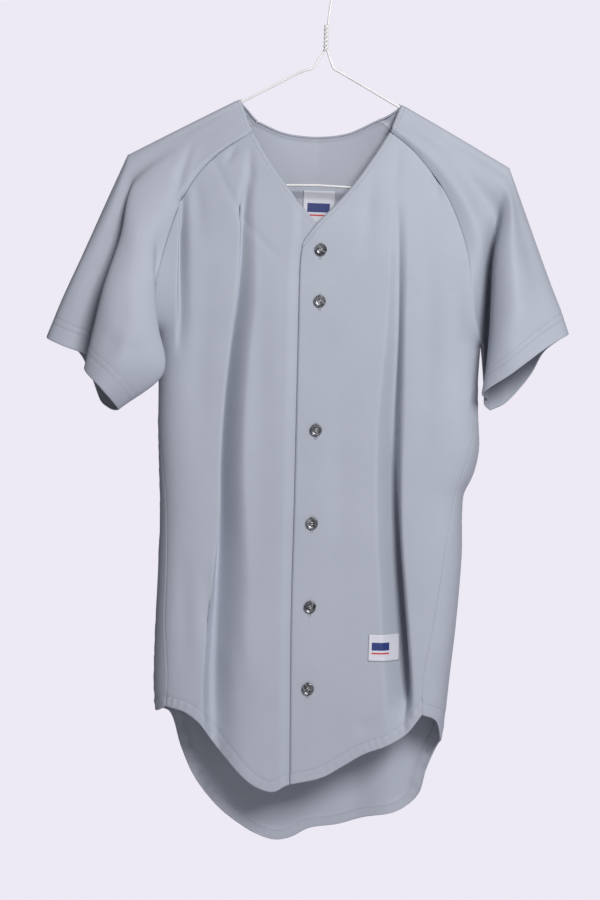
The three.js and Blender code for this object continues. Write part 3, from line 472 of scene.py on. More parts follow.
def body_rows():
    """Row measures down a body panel, closer at the neck and at the hem."""
    near_neck = EDGE_STEPS / ROW_LENGTH["neck"]
    near_hem = ROWS_BODY - EDGE_STEPS[::-1] / ROW_LENGTH["hem"]
    return np.concatenate([
        [0], near_neck, np.linspace(near_neck[-1], 1, 2 * STEPS)[1:],
        np.linspace(1, ROWS_BODY - 1, (ROWS_BODY - 2) * STEPS + 1)[1:],
        np.linspace(ROWS_BODY - 1, near_hem[0], 2 * STEPS)[1:], near_hem[1:], [ROWS_BODY],
    ])


BODY_ROWS = body_rows()


def panel_grid(edges, spans, place):
    """A patch between four edges, laid on a sheet. Rows are cut where they cross the folds' lines.
    Columns may gather towards a span's end, or towards its start where gather is negative.

    Returns each grid point's x, y, z, then its place x, z in the unwrapped panel, and its distance
    along the row from either end."""
    u = np.linspace(0, 1, FINE + 1)
    v = (BODY_ROWS / ROWS_BODY)[:, None, None]
    top, bottom = at_fractions(edges["top"], u), at_fractions(edges["bottom"], u)
    left, right = edges["left"](BODY_ROWS), edges["right"](BODY_ROWS)
    across = u[None, :, None]
    patch = (left[:, None] * (1 - across) + right[:, None] * across + top * (1 - v) + bottom * v
             - (left[0] * (1 - across) + right[0] * across) * (1 - v)
             - (left[-1] * (1 - across) + right[-1] * across) * v)
    lines = np.concatenate([place(patch[..., 0], patch[..., 1]), patch], axis=2)
    rows = []
    for line in lines:
        along = reach(line[:, :3])
        cuts = [EDGE_STEPS[-1]]
        for span in spans[:-1]:
            past = line[:, 3] - span["line"](line[:, 4])
            ahead = np.flatnonzero(past > 0)
            first = ahead[0] if len(ahead) else FINE
            step = past[first] / (past[first] - past[first - 1]) if 0 < first and past[first] > 0 else 0
            share = np.clip((first - step) / FINE, span.get("low", 0), span.get("high", 1))
            cuts.append(np.interp(share, u, along))
        cuts.append(along[-1] - EDGE_STEPS[-1])
        lengths = [np.concatenate([[0], EDGE_STEPS[:-1]])]
        for span, start, end in zip(spans, cuts[:-1], cuts[1:]):
            t = np.linspace(0, 1, span["columns"] + 1)[:-1]
            t = t + span.get("gather", 0) * t * (1 - t)
            lengths.append(start + (end - start) * t)
        lengths.append(along[-1] - np.concatenate([EDGE_STEPS[::-1], [0]]))
        lengths = np.concatenate(lengths)
        rows.append(np.column_stack([at_lengths(line, lengths), lengths, along[-1] - lengths]))
    return np.array(rows)


def fold_side(fold, column):
    """The line of a fold's floor, or of the side that its width column gives."""
    sign = {FOLD_X: 0, FOLD_LEFT: -1, FOLD_RIGHT: 1}[column]
    return lambda z: read(fold, FOLD_X, z) + sign * read(fold, column, z)


def sleeve_rows():
    last = ROWS_RAGLAN + ROWS_CUFF
    near_hem = last - EDGE_STEPS[::-1] / ROW_LENGTH["cuff"]
    return np.concatenate([
        BODY_ROWS[BODY_ROWS < ROWS_RAGLAN], np.linspace(ROWS_RAGLAN, last - 2, 25),
        np.linspace(last - 2, near_hem[0], 24)[1:], near_hem[1:], [last],
    ])


def sleeve_line(corner, points, rows):
    """A line down the sleeve, smooth but for a corner over the hanger's tip."""
    place = np.interp(rows, STATION_ROWS, np.arange(len(STATION_ROWS)))
    smooth = curve(points, place / (len(points) - 1))
    before = curve(points[:TIP_STATION + 1], place / TIP_STATION)
    after = curve(points[TIP_STATION:], (place - TIP_STATION) / (len(points) - 1 - TIP_STATION))
    sharp = np.where((place < TIP_STATION)[:, None], before, after)
    return smooth + (sharp - smooth) * corner


def sleeve_grid(sleeve, underarm, front_seam, back_seam):
    """A sleeve's grid, in panel_grid's columns. Its unwrapped place is x and z as hung."""
    rows = sleeve_rows()
    lines = [sleeve_line(corner, points, rows) for corner, points in sleeve.values()]
    on_body = np.minimum(rows, ROWS_RAGLAN)
    front, behind = front_place(*front_seam(on_body).T), back_place(*back_seam(on_body).T)
    below = curve([front[-1], *underarm], np.maximum(rows - ROWS_RAGLAN, 0) / ROWS_CUFF)
    on_seam = (rows < ROWS_RAGLAN)[:, None]
    keys = np.stack([np.where(on_seam, front, below), *lines, np.where(on_seam, behind, below)], axis=1)
    t = np.linspace(0, 1, SLEEVE_STEPS * (keys.shape[1] - 1) + 1)
    grid = []
    for row_keys in keys:
        line = curve(row_keys, t)
        along = reach(line)
        inner = np.interp(np.linspace(0, 1, len(t) - 1), t, along)
        inner = inner * (along[-1] - 2 * EDGE_STEPS[-1]) / along[-1] + EDGE_STEPS[-1]
        lengths = np.concatenate([
            [0], EDGE_STEPS[:-1], inner, along[-1] - EDGE_STEPS[-2::-1], [along[-1]]])
        spots = at_lengths(line, lengths)
        grid.append(np.column_stack([spots, spots[:, 0], spots[:, 2], lengths, along[-1] - lengths]))
    return np.array(grid)


def crease_depth(places, creases):
    """Depth of soft troughs drawn as x, z, depth and half width."""
    total = np.zeros(places.shape[:-1])
    for path in creases:
        away, values = to_path(places, path)
        total += values[..., 2] * np.exp(-(away / np.maximum(values[..., 3], 1)) ** 2)
    return total


# Meshes, from millimetres

def ring_faces(rings, sides):
    """Faces of a round form: a tip, rings of points and a second tip."""
    last = 1 + (rings - 1) * sides
    faces = []
    for k in range(sides):
        n = (k + 1) % sides
        faces.append((0, 1 + n, 1 + k))
        faces += [(a + k, a + n, a + sides + n, a + sides + k) for a in range(1, last, sides)]
        faces.append((last + k, last + n, last + sides))
    return faces


def closed_sheet(outer, inner, outward):
    """Vertices and faces of two grids of points, joined round their edges."""
    index = np.arange(outer[..., 0].size).reshape(outer.shape[:2])
    under = index + index.size

    def quads(a):
        return np.stack([a[:-1, :-1], a[:-1, 1:], a[1:, 1:], a[1:, :-1]], axis=-1).reshape(-1, 4)

    faces = [quads(index), quads(under)[:, ::-1]]
    for edge, edge_under, turn in ((index[0], under[0], 1), (index[-1], under[-1], -1),
                                   (index[:, 0], under[:, 0], -1), (index[:, -1], under[:, -1], 1)):
        rim = np.stack([edge_under[:-1], edge_under[1:], edge[1:], edge[:-1]], axis=-1)
        faces.append(rim[:, ::turn])
    return np.concatenate([outer.reshape(-1, 3), inner.reshape(-1, 3)]), np.concatenate(faces)[:, ::outward]


def mesh_object(name, vertices, faces, material, uv=None):
    mesh = bpy.data.meshes.new(name)
    mesh.from_pydata((vertices * 0.001).tolist(), [], faces if isinstance(faces, list) else faces.tolist())
    mesh.validate()
    if uv is not None:
        layer = mesh.uv_layers.new(name="cut")
        corners = np.empty(len(mesh.loops), dtype=np.int32)
        mesh.loops.foreach_get("vertex_index", corners)
        layer.data.foreach_set("uv", (uv[corners] * 0.001).astype(np.float32).ravel())
    mesh.materials.append(material)
    mesh.polygons.foreach_set("use_smooth", [True] * len(mesh.polygons))
    made = bpy.data.objects.new(name, mesh)
    scene.collection.objects.link(made)
    return made


def joined(name, parts, material):
    """One mesh of many small ones. Faces with a repeated corner are triangles."""
    vertices, faces, start = [], [], 0
    for part_vertices, part_faces in parts:
        vertices.append(part_vertices)
        faces.extend([[int(i) + start for i in dict.fromkeys(face.tolist())] for face in part_faces])
        start += len(part_vertices)
    return mesh_object(name, np.concatenate(vertices), faces, material)


def dress(piece, slot_name, *solids):
    """Puts a piece on the body, in place of its solid. Its slot name is not used."""
    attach(piece, "root")
    if solids:
        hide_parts(*solids)


def thread_mesh(centres, along, normals, length, height):
    """Short threads, each with three rings between two tips."""
    side = unit(np.cross(normals, along))
    turns = (np.arange(THREAD_SIDES) * math.tau / THREAD_SIDES)[:, None]
    vertices = []
    for shift, size, lift in THREAD_RINGS:
        middle = (centres + along * (shift * length) + normals * (lift * height * 0.5))[:, None]
        if size:
            middle = (middle + side[:, None] * (np.cos(turns) * size * THREAD_WIDTH / 2)
                      + normals[:, None] * (np.sin(turns) * size * height / 2))
        vertices.append(middle)
    vertices = np.concatenate(vertices, axis=1)
    faces = np.array([(*face, face[-1])[:4] for face in ring_faces(3, THREAD_SIDES)])
    offsets = (np.arange(len(centres)) * vertices.shape[1])[:, None, None]
    return vertices.reshape(-1, 3), (faces + offsets).reshape(-1, 4)


def stitch_row(line, directions):
    """Threads along a line of points."""
    end = reach(line)[-1]
    count = max(int(end / STITCH["pitch"]), 2)
    lengths = (np.arange(count) + 0.5) * end / count
    spots = at_lengths(np.hstack([line, directions]), lengths)
    run = unit(at_lengths(line, lengths + 0.5) - at_lengths(line, lengths - 0.5))
    return thread_mesh(spots[:, :3], run, unit(spots[:, 3:]), STITCH["length"], STITCH["height"])


class Shell:
    """A thin closed cloth on a grid, with thicker turned edges."""

    def __init__(self, name, grid, outward):
        self.name = name
        self.outward = outward
        self.points = grid[..., :3]
        self.places = grid[..., 3:5]
        self.from_first = grid[..., 5]
        self.from_last = grid[..., 6]
        self.thickness = None
        self.tree = None

    def normals(self):
        along, down = np.gradient(self.points, axis=1), np.gradient(self.points, axis=0)
        return unit(np.cross(along, down) * self.outward)

    def press(self, depth):
        """Moves the cloth inwards."""
        self.points = self.points - self.normals() * depth[..., None]

    def groove(self, distance, at, width, depth):
        """Presses a soft line in, at a distance from an edge."""
        self.press(depth * np.exp(-((distance - at) / width) ** 2))

    def round_edge(self, distance, width, depth):
        self.press(depth * np.clip(1 - distance / width, 0, 1) ** 2)

    def turn_in(self, hem_away, hem, neck_away):
        """Doubles the cloth at the hem and the neck."""
        turned = np.maximum(step_down(hem_away, hem, 1.5), step_down(neck_away, NECK_BAND, 1.2))
        self.thickness = CLOTH + (TURNED - CLOTH) * turned

    def stitched(self, distance, level, inner=False):
        """Stitches where each column crosses a distance from an edge."""
        normals = self.normals()
        face = self.points - normals * self.thickness[..., None] if inner else self.points
        spots, directions = [], []
        for i, column in enumerate((distance - level).T):
            cross = np.flatnonzero((column[:-1] > 0) != (column[1:] > 0))
            if not len(cross):
                continue
            j = cross[-1] if column[0] > column[-1] else cross[0]
            t = column[j] / (column[j] - column[j + 1])
            spots.append(face[j, i] * (1 - t) + face[j + 1, i] * t)
            directions.append((normals[j, i] * (1 - t) + normals[j + 1, i] * t) * (-1 if inner else 1))
        return stitch_row(np.array(spots), np.array(directions))

    def build(self, material, reference):
        """Makes the mesh. Its UVs are lengths across, from a reference column, and down."""
        inner = self.points - self.normals() * self.thickness[..., None]
        vertices, faces = closed_sheet(self.points, inner, self.outward)
        across = reach(self.points, 1)
        across = across - across[:, reference:][:, :1]
        uv = np.stack([across, -reach(self.points)], axis=-1).reshape(-1, 2)
        self.tree = BVHTree.FromPolygons((vertices * 0.001).tolist(), faces.tolist())
        return mesh_object(self.name, vertices, faces, material, np.vstack([uv, uv]))

    def hit(self, x, z, from_y):
        """Point and normal where a line towards the back meets the cloth."""
        spot, normal, _, _ = self.tree.ray_cast(Vector((x, from_y, z)) * 0.001, Vector((0, 1, 0)))
        return np.array(spot) * 1000, np.array(normal)


# Materials

def new_material(name, settings):
    material = bpy.data.materials.new(name)
    material.use_nodes = True
    shader = material.node_tree.nodes["Principled BSDF"]
    for socket, value in settings.items():
        shader.inputs[socket].default_value = value
    return material, material.node_tree, shader


def node(tree, kind, inputs=None, **settings):
    made = tree.nodes.new(kind)
    for key, value in settings.items():
        setattr(made, key, value)
    for key, value in (inputs or {}).items():
        if isinstance(value, bpy.types.NodeSocket):
            tree.links.new(value, made.inputs[key])
        else:
            made.inputs[key].default_value = value
    return made


def link(tree, shader, outputs):
    for key, output in outputs.items():
        tree.links.new(output, shader.inputs[key])


def mix_colors(tree, factor, a, b):
    a, b = ((*color, 1) if isinstance(color, tuple) else color for color in (a, b))
    return node(tree, "ShaderNodeMix", {"Factor": factor, 6: a, 7: b}, data_type="RGBA").outputs[2]


def spread(tree, value, low, high, new_low, new_high):
    return node(tree, "ShaderNodeMapRange", {
        "Value": value, "From Min": low, "From Max": high, "To Min": new_low, "To Max": new_high,
    }).outputs["Result"]


def arithmetic(tree, operation, a, b):
    return node(tree, "ShaderNodeMath", {0: a, 1: b}, operation=operation).outputs["Value"]


def noise(tree, scale, detail, **more):
    """A noise that stays with the object."""
    place = node(tree, "ShaderNodeTexCoord").outputs["Object"]
    inputs = {"Vector": place, "Scale": scale, "Detail": detail, **more}
    return node(tree, "ShaderNodeTexNoise", inputs).outputs["Fac"]


def waves(tree, vector, direction, period, distortion=0.0):
    """Bands across a direction. The texture turns 20 radians in a unit of its scale."""
    return node(tree, "ShaderNodeTexWave", {
        "Vector": vector, "Scale": math.tau / 20 / period, "Distortion": distortion, "Detail": 1,
        "Detail Scale": 2,
    }, wave_type="BANDS", bands_direction=direction).outputs["Fac"]


def relief(tree, height, strength, distance, **under):
    inputs = {"Strength": strength, "Distance": distance, "Height": height, **under}
    return node(tree, "ShaderNodeBump", inputs).outputs["Normal"]


def cloth_material(name, color, shade):
    material, tree, shader = new_material(name, {
        "Specular IOR Level": 0.35, "Sheen Weight": 0.22, "Sheen Roughness": 0.45,
        "Sheen Tint": (0.80, 0.88, 1.0, 1),
    })
    cut = node(tree, "ShaderNodeUVMap", uv_map="cut").outputs["UV"]
    wales = waves(tree, cut, "X", 0.0011, 0.15)
    courses = waves(tree, cut, "Y", 0.0008, 0.1)
    knit = arithmetic(tree, "MULTIPLY", wales, spread(tree, courses, 0, 1, 0.55, 1))
    patches = noise(tree, 14, 5, Roughness=0.6)
    fibres = noise(tree, 900, 3, Roughness=0.7)
    # The knit's raised loops are painted up to 4.5 % lighter than its hollows: a painted highlight on the
    # loops and painted shade in the hollows, on top of the knit's bump
    painted_knit_light = tuple(c * 1.1 for c in color)
    tone = mix_colors(tree, spread(tree, patches, 0.3, 0.7, 0, 1), color, shade)
    tone = mix_colors(tree, spread(tree, knit, 0, 1, 0, 0.45), tone, painted_knit_light)
    tone = mix_colors(tree, spread(tree, fibres, 0.35, 0.75, 0, 0.3), tone, shade)
    broad = relief(tree, noise(tree, 70, 3), 0.35, 0.0006)
    link(tree, shader, {
        "Base Color": tone, "Roughness": spread(tree, fibres, 0.2, 0.8, 0.54, 0.70),
        "Normal": relief(tree, knit, 0.6, 0.00005, Normal=broad),
    })
    return material


def thread_material(name, color):
    material, tree, shader = new_material(name, {"Roughness": 0.5, "Sheen Weight": 0.2})
    twist = noise(tree, 1600, 2)
    dark = tuple(c * 0.8 for c in color)
    link(tree, shader, {
        "Base Color": mix_colors(tree, twist, dark, color), "Normal": relief(tree, twist, 0.5, 0.0001)})
    return material


cloth = cloth_material("double_knit", (0.395, 0.420, 0.478), (0.360, 0.384, 0.440))
thread = thread_material("thread", (0.40, 0.42, 0.45))

# Cloth panels, in spans of columns up to each fold's line. Low and high are the least and greatest
# share of the row at which the line may cut it.
SPANS_LEFT = [
    {"columns": 16, "line": fold_side(ARMHOLE_FOLD, FOLD_X), "low": 0.06, "gather": 0.7},
    {"columns": 26, "line": fold_side(LEFT_GROOVE, FOLD_LEFT), "low": 0.16, "gather": -0.7},
    {"columns": 20, "line": fold_side(LEFT_GROOVE, FOLD_X), "low": 0.24},
    {"columns": 24, "line": fold_side(LEFT_GROOVE, FOLD_RIGHT), "low": 0.38, "gather": -0.7},
    {"columns": 34},
]
SPANS_RIGHT = [
    {"columns": 30, "line": fold_side(RIGHT_GROOVE, FOLD_LEFT), "high": 0.54},
    {"columns": 26, "line": fold_side(RIGHT_GROOVE, FOLD_X), "high": 0.76},
    {"columns": 30, "line": fold_side(RIGHT_GROOVE, FOLD_RIGHT), "high": 0.88},
    {"columns": 28},
]
SPANS_BACK = [
    {"columns": 42, "line": fold_side(BACK_LEFT_GROOVE, FOLD_X), "low": 0.2},
    {"columns": 60, "line": fold_side(BACK_RIGHT_GROOVE, FOLD_X), "high": 0.76},
    {"columns": 44},
]
FOOT_LEFT, FOOT_RIGHT = HEM_FRONT_LEFT[0][1], HEM_FRONT_RIGHT[-1][1]
left_seam = outer_edge(RAGLAN_FRONT_LEFT, SIDE_LEFT, FOOT_LEFT, False)
right_seam = outer_edge(RAGLAN_FRONT_RIGHT, SIDE_RIGHT, FOOT_RIGHT, False)

front_left = Shell("front_left_cloth", panel_grid({
    "top": NECK_LEFT, "bottom": HEM_FRONT_LEFT, "left": left_seam, "right": plain_edge(PLACKET_UNDER),
}, SPANS_LEFT, under_place), -1)
front_right = Shell("front_right_cloth", panel_grid({
    "top": NECK_RIGHT, "bottom": HEM_FRONT_RIGHT, "left": plain_edge(PLACKET_OVER), "right": right_seam,
}, SPANS_RIGHT, front_place), -1)
back = Shell("back_cloth", panel_grid({
    "top": NECK_BACK, "bottom": HEM_BACK,
    "left": outer_edge(RAGLAN_BACK_LEFT, SIDE_LEFT, FOOT_LEFT, True),
    "right": outer_edge(RAGLAN_BACK_RIGHT, SIDE_RIGHT, FOOT_RIGHT, True),
}, SPANS_BACK, wrap_place), 1)
sleeve_left = Shell("sleeve_left_cloth", sleeve_grid(
    SLEEVE_LEFT, UNDERARM_LEFT, left_seam, plain_edge(RAGLAN_BACK_LEFT, ROWS_RAGLAN)), 1)
sleeve_right = Shell("sleeve_right_cloth", sleeve_grid(
    SLEEVE_RIGHT, UNDERARM_RIGHT, right_seam, plain_edge(RAGLAN_BACK_RIGHT, ROWS_RAGLAN)), -1)

# Creases, then the seams, hems and neck edge
for shell, creases in ((front_left, CREASES_FRONT_LEFT), (front_right, CREASES_FRONT_RIGHT),
                       (back, CREASES_BACK)):
    shell.press(crease_depth(shell.places, creases))
for shell, creases in ((sleeve_left, CREASES_SLEEVE_LEFT), (sleeve_right, CREASES_SLEEVE_RIGHT)):
    facing = np.clip(-shell.normals()[..., 1] * 2, 0, 1)
    shell.press(crease_depth(shell.places, creases) * facing)


def past_corners(points):
    """A smooth edge, run on straight past both ends so that its stitches end at the seams."""
    line = at_fractions(points, np.linspace(0, 1, 161))
    first, last = unit(line[0] - line[1]), unit(line[-1] - line[-2])
    return np.vstack([line[0] + first * PAST_CORNER, line, line[-1] + last * PAST_CORNER])


def puckered(x):
    """Where the back's hem is gathered most: at its left, and at its right corner."""
    return np.exp(-((x + 95) / 30) ** 2) + np.exp(-((x - 128) / 16) ** 2)


front_left.groove(front_left.from_first, *SEAM_LINE)
front_right.groove(front_right.from_last, *SEAM_LINE)
for shell in (back, sleeve_left, sleeve_right):
    shell.groove(shell.from_first, *SEAM_LINE)
    shell.groove(shell.from_last, *SEAM_LINE)

stitches = []
for shell, hem, neck in ((front_left, HEM_FRONT_LEFT, NECK_LEFT),
                         (front_right, HEM_FRONT_RIGHT, NECK_RIGHT), (back, HEM_BACK, NECK_BACK)):
    hem_away, hem_at = to_path(shell.places, past_corners(hem))
    neck_away, _ = to_path(shell.places, past_corners(neck))
    shell.turn_in(hem_away, HEM_BODY, neck_away)
    hem_x = hem_at[..., 0]
    wave = np.sin(hem_x * math.tau / 7.3 + 1.7 * np.sin(hem_x / 11))
    pucker = 0.28 + 0.5 * puckered(shell.places[..., 0]) * (shell is back)
    shell.groove(hem_away, HEM_BODY * 0.6, 5, pucker * wave)
    shell.groove(hem_away, HEM_BODY, 1.4, 0.35)
    shell.groove(neck_away, *NECK_LINE)
    shell.round_edge(hem_away, *HEM_ROLL)
    shell.round_edge(neck_away, *NECK_ROLL)
    stitches.append(shell.stitched(hem_away, HEM_BODY))
    stitches.append(shell.stitched(neck_away, NECK_STITCHES))
    if shell is back:
        stitches.append(shell.stitched(hem_away, HEM_BODY - 1.5, inner=True))
front_right.round_edge(front_right.from_first, *PLACKET_ROLL)
front_left.round_edge(front_left.from_last, *HEM_ROLL)

for shell in (sleeve_left, sleeve_right):
    hem_away, neck_away = reach(shell.points[::-1])[::-1], reach(shell.points)
    shell.turn_in(hem_away, HEM_SLEEVE, neck_away)
    shell.groove(neck_away, *NECK_LINE)
    shell.round_edge(neck_away, *NECK_ROLL)
    stitches.append(shell.stitched(neck_away, NECK_STITCHES))
    for level in (HEM_SLEEVE, HEM_SLEEVE_INNER):
        shell.groove(hem_away, level, 1.2, 0.3)
    shell.round_edge(hem_away, *HEM_ROLL)
    for level in (HEM_SLEEVE, HEM_SLEEVE_INNER):
        stitches.append(shell.stitched(hem_away, level))

# Solid, its shell, the reference column of its knit, and its flat size and area in metres
for solid, shell, reference, flat, area in (
        ("front_left", front_left, -1, (0.215, 0.70), 0.112),
        ("front_right", front_right, 0, (0.205, 0.69), 0.109),
        ("back", back, 72, (0.50, 0.79), 0.254),
        ("sleeve_left", sleeve_left, 60, (0.38, 0.34), 0.072),
        ("sleeve_right", sleeve_right, 60, (0.38, 0.34), 0.066)):
    piece = shell.build(cloth, reference)
    dress(piece, "cloth", solid)
dress(joined("stitching", stitches, thread), "cloth")

# Buttons
BUTTON = {"radius": 6.4, "thick": 2.4, "rim": 1.3, "dish": 0.75, "hole": 0.85, "spread": 1.45,
          "seat": 0.3, "turn": 23, "strand_gap": 0.36}
BUTTONHOLE = {"length": 17, "drop": 1, "half_gap": 0.85, "threads": 44}
BEFORE = -200


def button_material():
    material, tree, shader = new_material("smoky_pearl", {
        "Metallic": 0.35, "Coat Weight": 0.7, "Coat Roughness": 0.08,
    })
    swirl = noise(tree, 190, 4, Roughness=0.55, Distortion=1.6)
    link(tree, shader, {
        "Base Color": mix_colors(tree, spread(tree, swirl, 0.38, 0.68, 0, 1),
                                 (0.020, 0.021, 0.024), (0.30, 0.31, 0.325)),
        "Roughness": spread(tree, swirl, 0.3, 0.7, 0.16, 0.34),
        "Normal": relief(tree, swirl, 0.2, 0.0002),
    })
    return material


def lathe(profile, sides):
    """Vertices and faces turned round z, from radii and heights."""
    turns = np.arange(sides) * math.tau / sides
    rings = [np.column_stack([radius * np.cos(turns), radius * np.sin(turns), np.full(sides, height)])
             for radius, height in profile[1:-1]]
    tips = [(0, 0, profile[end][1]) for end in (0, -1)]
    return np.vstack([tips[0], *rings, tips[1]]), ring_faces(len(rings), sides)


def button_mesh(material):
    """A four-hole button, its holes cut by thin pins."""
    r, thick, rim, dish, hole = (BUTTON[key] for key in ("radius", "thick", "rim", "dish", "hole"))
    profile = [
        (0, 0), (r - 1.4, 0), (r - 0.5, 0.2), (r - 0.1, 0.75), (r, 1.3), (r - 0.15, 1.85),
        (r - 0.55, 2.25), (r - 0.95, thick), (r - rim, 2.28), (r - rim - 0.45, 1.95),
        (r - rim - 0.9, thick - dish), (r - rim - 1.8, thick - dish - 0.05), (1, thick - dish - 0.1),
        (0, thick - dish - 0.1),
    ]
    body = mesh_object("button_blank", *lathe(profile, 56), material)
    made = [body]
    for k in range(4):
        angle = math.pi / 4 + k * math.pi / 2
        vertices, faces = lathe([(0, -1), (hole, -1), (hole, 4), (0, 4)], 16)
        shift = BUTTON["spread"] * np.array([math.cos(angle), math.sin(angle), 0])
        made.append(mesh_object(f"pin_{k}", vertices + shift, faces, material))
        cut = body.modifiers.new(f"hole_{k}", "BOOLEAN")
        cut.object = made[-1]
        cut.operation = "DIFFERENCE"
        cut.solver = "EXACT"
    bpy.context.view_layer.update()
    mesh = bpy.data.meshes.new_from_object(body.evaluated_get(bpy.context.evaluated_depsgraph_get()))
    for item in made:
        bpy.data.objects.remove(item)
    mesh.materials.clear()
    mesh.materials.append(material)
    mesh.polygons.foreach_set("use_smooth", [True] * len(mesh.polygons))
    mesh.set_sharp_from_angle(angle=math.radians(38))
    return mesh


blank = button_mesh(button_material())
button_threads = []
hole_threads = []
for number in range(1, 7):
    low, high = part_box(f"button_{number}")
    centre = (low + high) / 2
    x, z = centre.x * 1000, centre.z * 1000
    spot, normal = front_right.hit(x, z, BEFORE)
    seat = spot + normal * BUTTON["seat"]
    turn = (Vector(normal).to_track_quat("Z", "Y").to_matrix()
            @ Matrix.Rotation(math.radians(BUTTON["turn"] * number), 3, "Z"))
    button = bpy.data.objects.new(f"four_hole_button_{number}", blank.copy())
    button.data.transform(Matrix.Translation(Vector(seat * 0.001)) @ turn.to_4x4())
    scene.collection.objects.link(button)
    dress(button, "button", f"button_{number}")
    across, upward, _ = np.array(turn).T
    middle = seat + normal * (BUTTON["thick"] - BUTTON["dish"] + 0.05)
    for side in (-1, 1):
        for strand in (-1, 0, 1):
            shift = side * BUTTON["spread"] * 0.707 + strand * BUTTON["strand_gap"]
            button_threads.append(thread_mesh(
                (middle + across * shift)[None], upward[None], normal[None], 3.2, 0.8))
    # The buttonhole lies upright under the button and shows above and below it
    for t in np.linspace(-0.5, 0.5, BUTTONHOLE["threads"]):
        for side in (-1, 1):
            spot, normal = front_right.hit(
                x + side * BUTTONHOLE["half_gap"], z - BUTTONHOLE["drop"] + t * BUTTONHOLE["length"], BEFORE)
            hole_threads.append(thread_mesh(spot[None], np.array([[1.0, 0, 0]]), normal[None], 1.5, 0.35))
dress(joined("button_threads", button_threads, thread_material("button_thread", (0.62, 0.63, 0.64))),
      "button")
dress(joined("buttonholes", hole_threads, thread), "cloth")

# Labels: plain colour bands on white, as left, right, low, high and colour in the label's square
LABEL = {"lift": 0.25, "thick": 0.4, "curl": 0.25, "flat": 0.8, "across": 24, "down": 18}
NAVY = (0.012, 0.028, 0.16)
RED = (0.52, 0.035, 0.03)
NECK_BANDS = [(0.14, 0.86, 0.34, 0.62, NAVY), (0.14, 0.86, 0.22, 0.27, RED)]
HEM_BANDS = [(0.10, 0.66, 0.40, 0.70, NAVY), (0.10, 0.66, 0.26, 0.32, RED)]


def label_material(name, bands):
    """White woven tape with colour bands."""
    material, tree, shader = new_material(name, {"Roughness": 0.55, "Sheen Weight": 0.15})
    uv = node(tree, "ShaderNodeUVMap", uv_map="cut").outputs["UV"]
    axes = node(tree, "ShaderNodeSeparateXYZ", {0: uv}).outputs
    tone = mix_colors(tree, noise(tree, 1400, 2), (0.56, 0.57, 0.63), (0.68, 0.69, 0.74))
    for left, right, low, high, color in bands:
        mask = arithmetic(tree, "GREATER_THAN", axes["X"], left)
        for operation, axis, value in (("LESS_THAN", "X", right), ("GREATER_THAN", "Y", low),
                                       ("LESS_THAN", "Y", high)):
            mask = arithmetic(tree, "MULTIPLY", mask, arithmetic(tree, operation, axes[axis], value))
        tone = mix_colors(tree, mask, tone, color)
    ribs = waves(tree, uv, "Y", 0.03)
    link(tree, shader, {"Base Color": tone, "Normal": relief(tree, ribs, 0.4, 0.00008)})
    return material


def label(name, solid, shell, sides, from_y, material):
    """A label laid on the cloth, with slightly lifted edges."""
    left, right, top, bottom = sides
    outer, directions, uv = [], [], []
    for t in np.linspace(0, 1, LABEL["down"] + 1):
        for s in np.linspace(0, 1, LABEL["across"] + 1):
            spot, normal = shell.hit(left + (right - left) * s, top + (bottom - top) * t, from_y)
            rim = max(abs(2 * s - 1), abs(2 * t - 1))
            curl = LABEL["curl"] * max(rim - LABEL["flat"], 0) / (1 - LABEL["flat"])
            outer.append(spot + normal * (LABEL["lift"] + LABEL["thick"] + curl))
            directions.append(normal)
            uv.append((s * 1000, (1 - t) * 1000))
    shape = (LABEL["down"] + 1, LABEL["across"] + 1, 3)
    outer = np.reshape(outer, shape)
    inner = outer - np.reshape(directions, shape) * LABEL["thick"]
    dress(mesh_object(name, *closed_sheet(outer, inner, -1), material, np.array(uv + uv)), "label", solid)


label("sewn_neck_label", "neck_label", back, (-15, 18.5, -239.5, -274), -20,
      label_material("neck_tape", NECK_BANDS))
label("sewn_hem_label", "hem_label", front_right, (68.5, 101, -706.5, -734), BEFORE,
      label_material("hem_tape", HEM_BANDS))

# Hanger: one bent wire, smoother than its solid
WIRE = {"radius": 1.25, "sides": 16, "tip": 0.3, "steps": 4}
HANGER = {
    "joint": -114.6, "half_top": 20, "tip_x": 199, "tip_z": -213.4, "bar_z": -236, "bar_x": 190,
    "corner": 7, "twist_foot": -93, "twist_top": -66, "twist_radius": 1.5, "twist_turns": 3,
    "stem": 3.9, "hook": 19.25,
}


def arc(centre_x, centre_z, radius, start, end, steps):
    angles = np.radians(np.linspace(start, end, steps + 1))
    return np.stack([
        centre_x + radius * np.cos(angles), 0 * angles, centre_z + radius * np.sin(angles)], axis=1)


def twist(phase, downwards):
    t = np.linspace(0, 1, HANGER["twist_turns"] * 8 + 1)
    t = t[::-1] if downwards else t
    angles = phase + math.tau * HANGER["twist_turns"] * t
    z = HANGER["twist_foot"] + (HANGER["twist_top"] - HANGER["twist_foot"]) * t
    radius = HANGER["twist_radius"]
    return np.stack([HANGER["stem"] + radius * np.cos(angles), radius * np.sin(angles), z], axis=1)


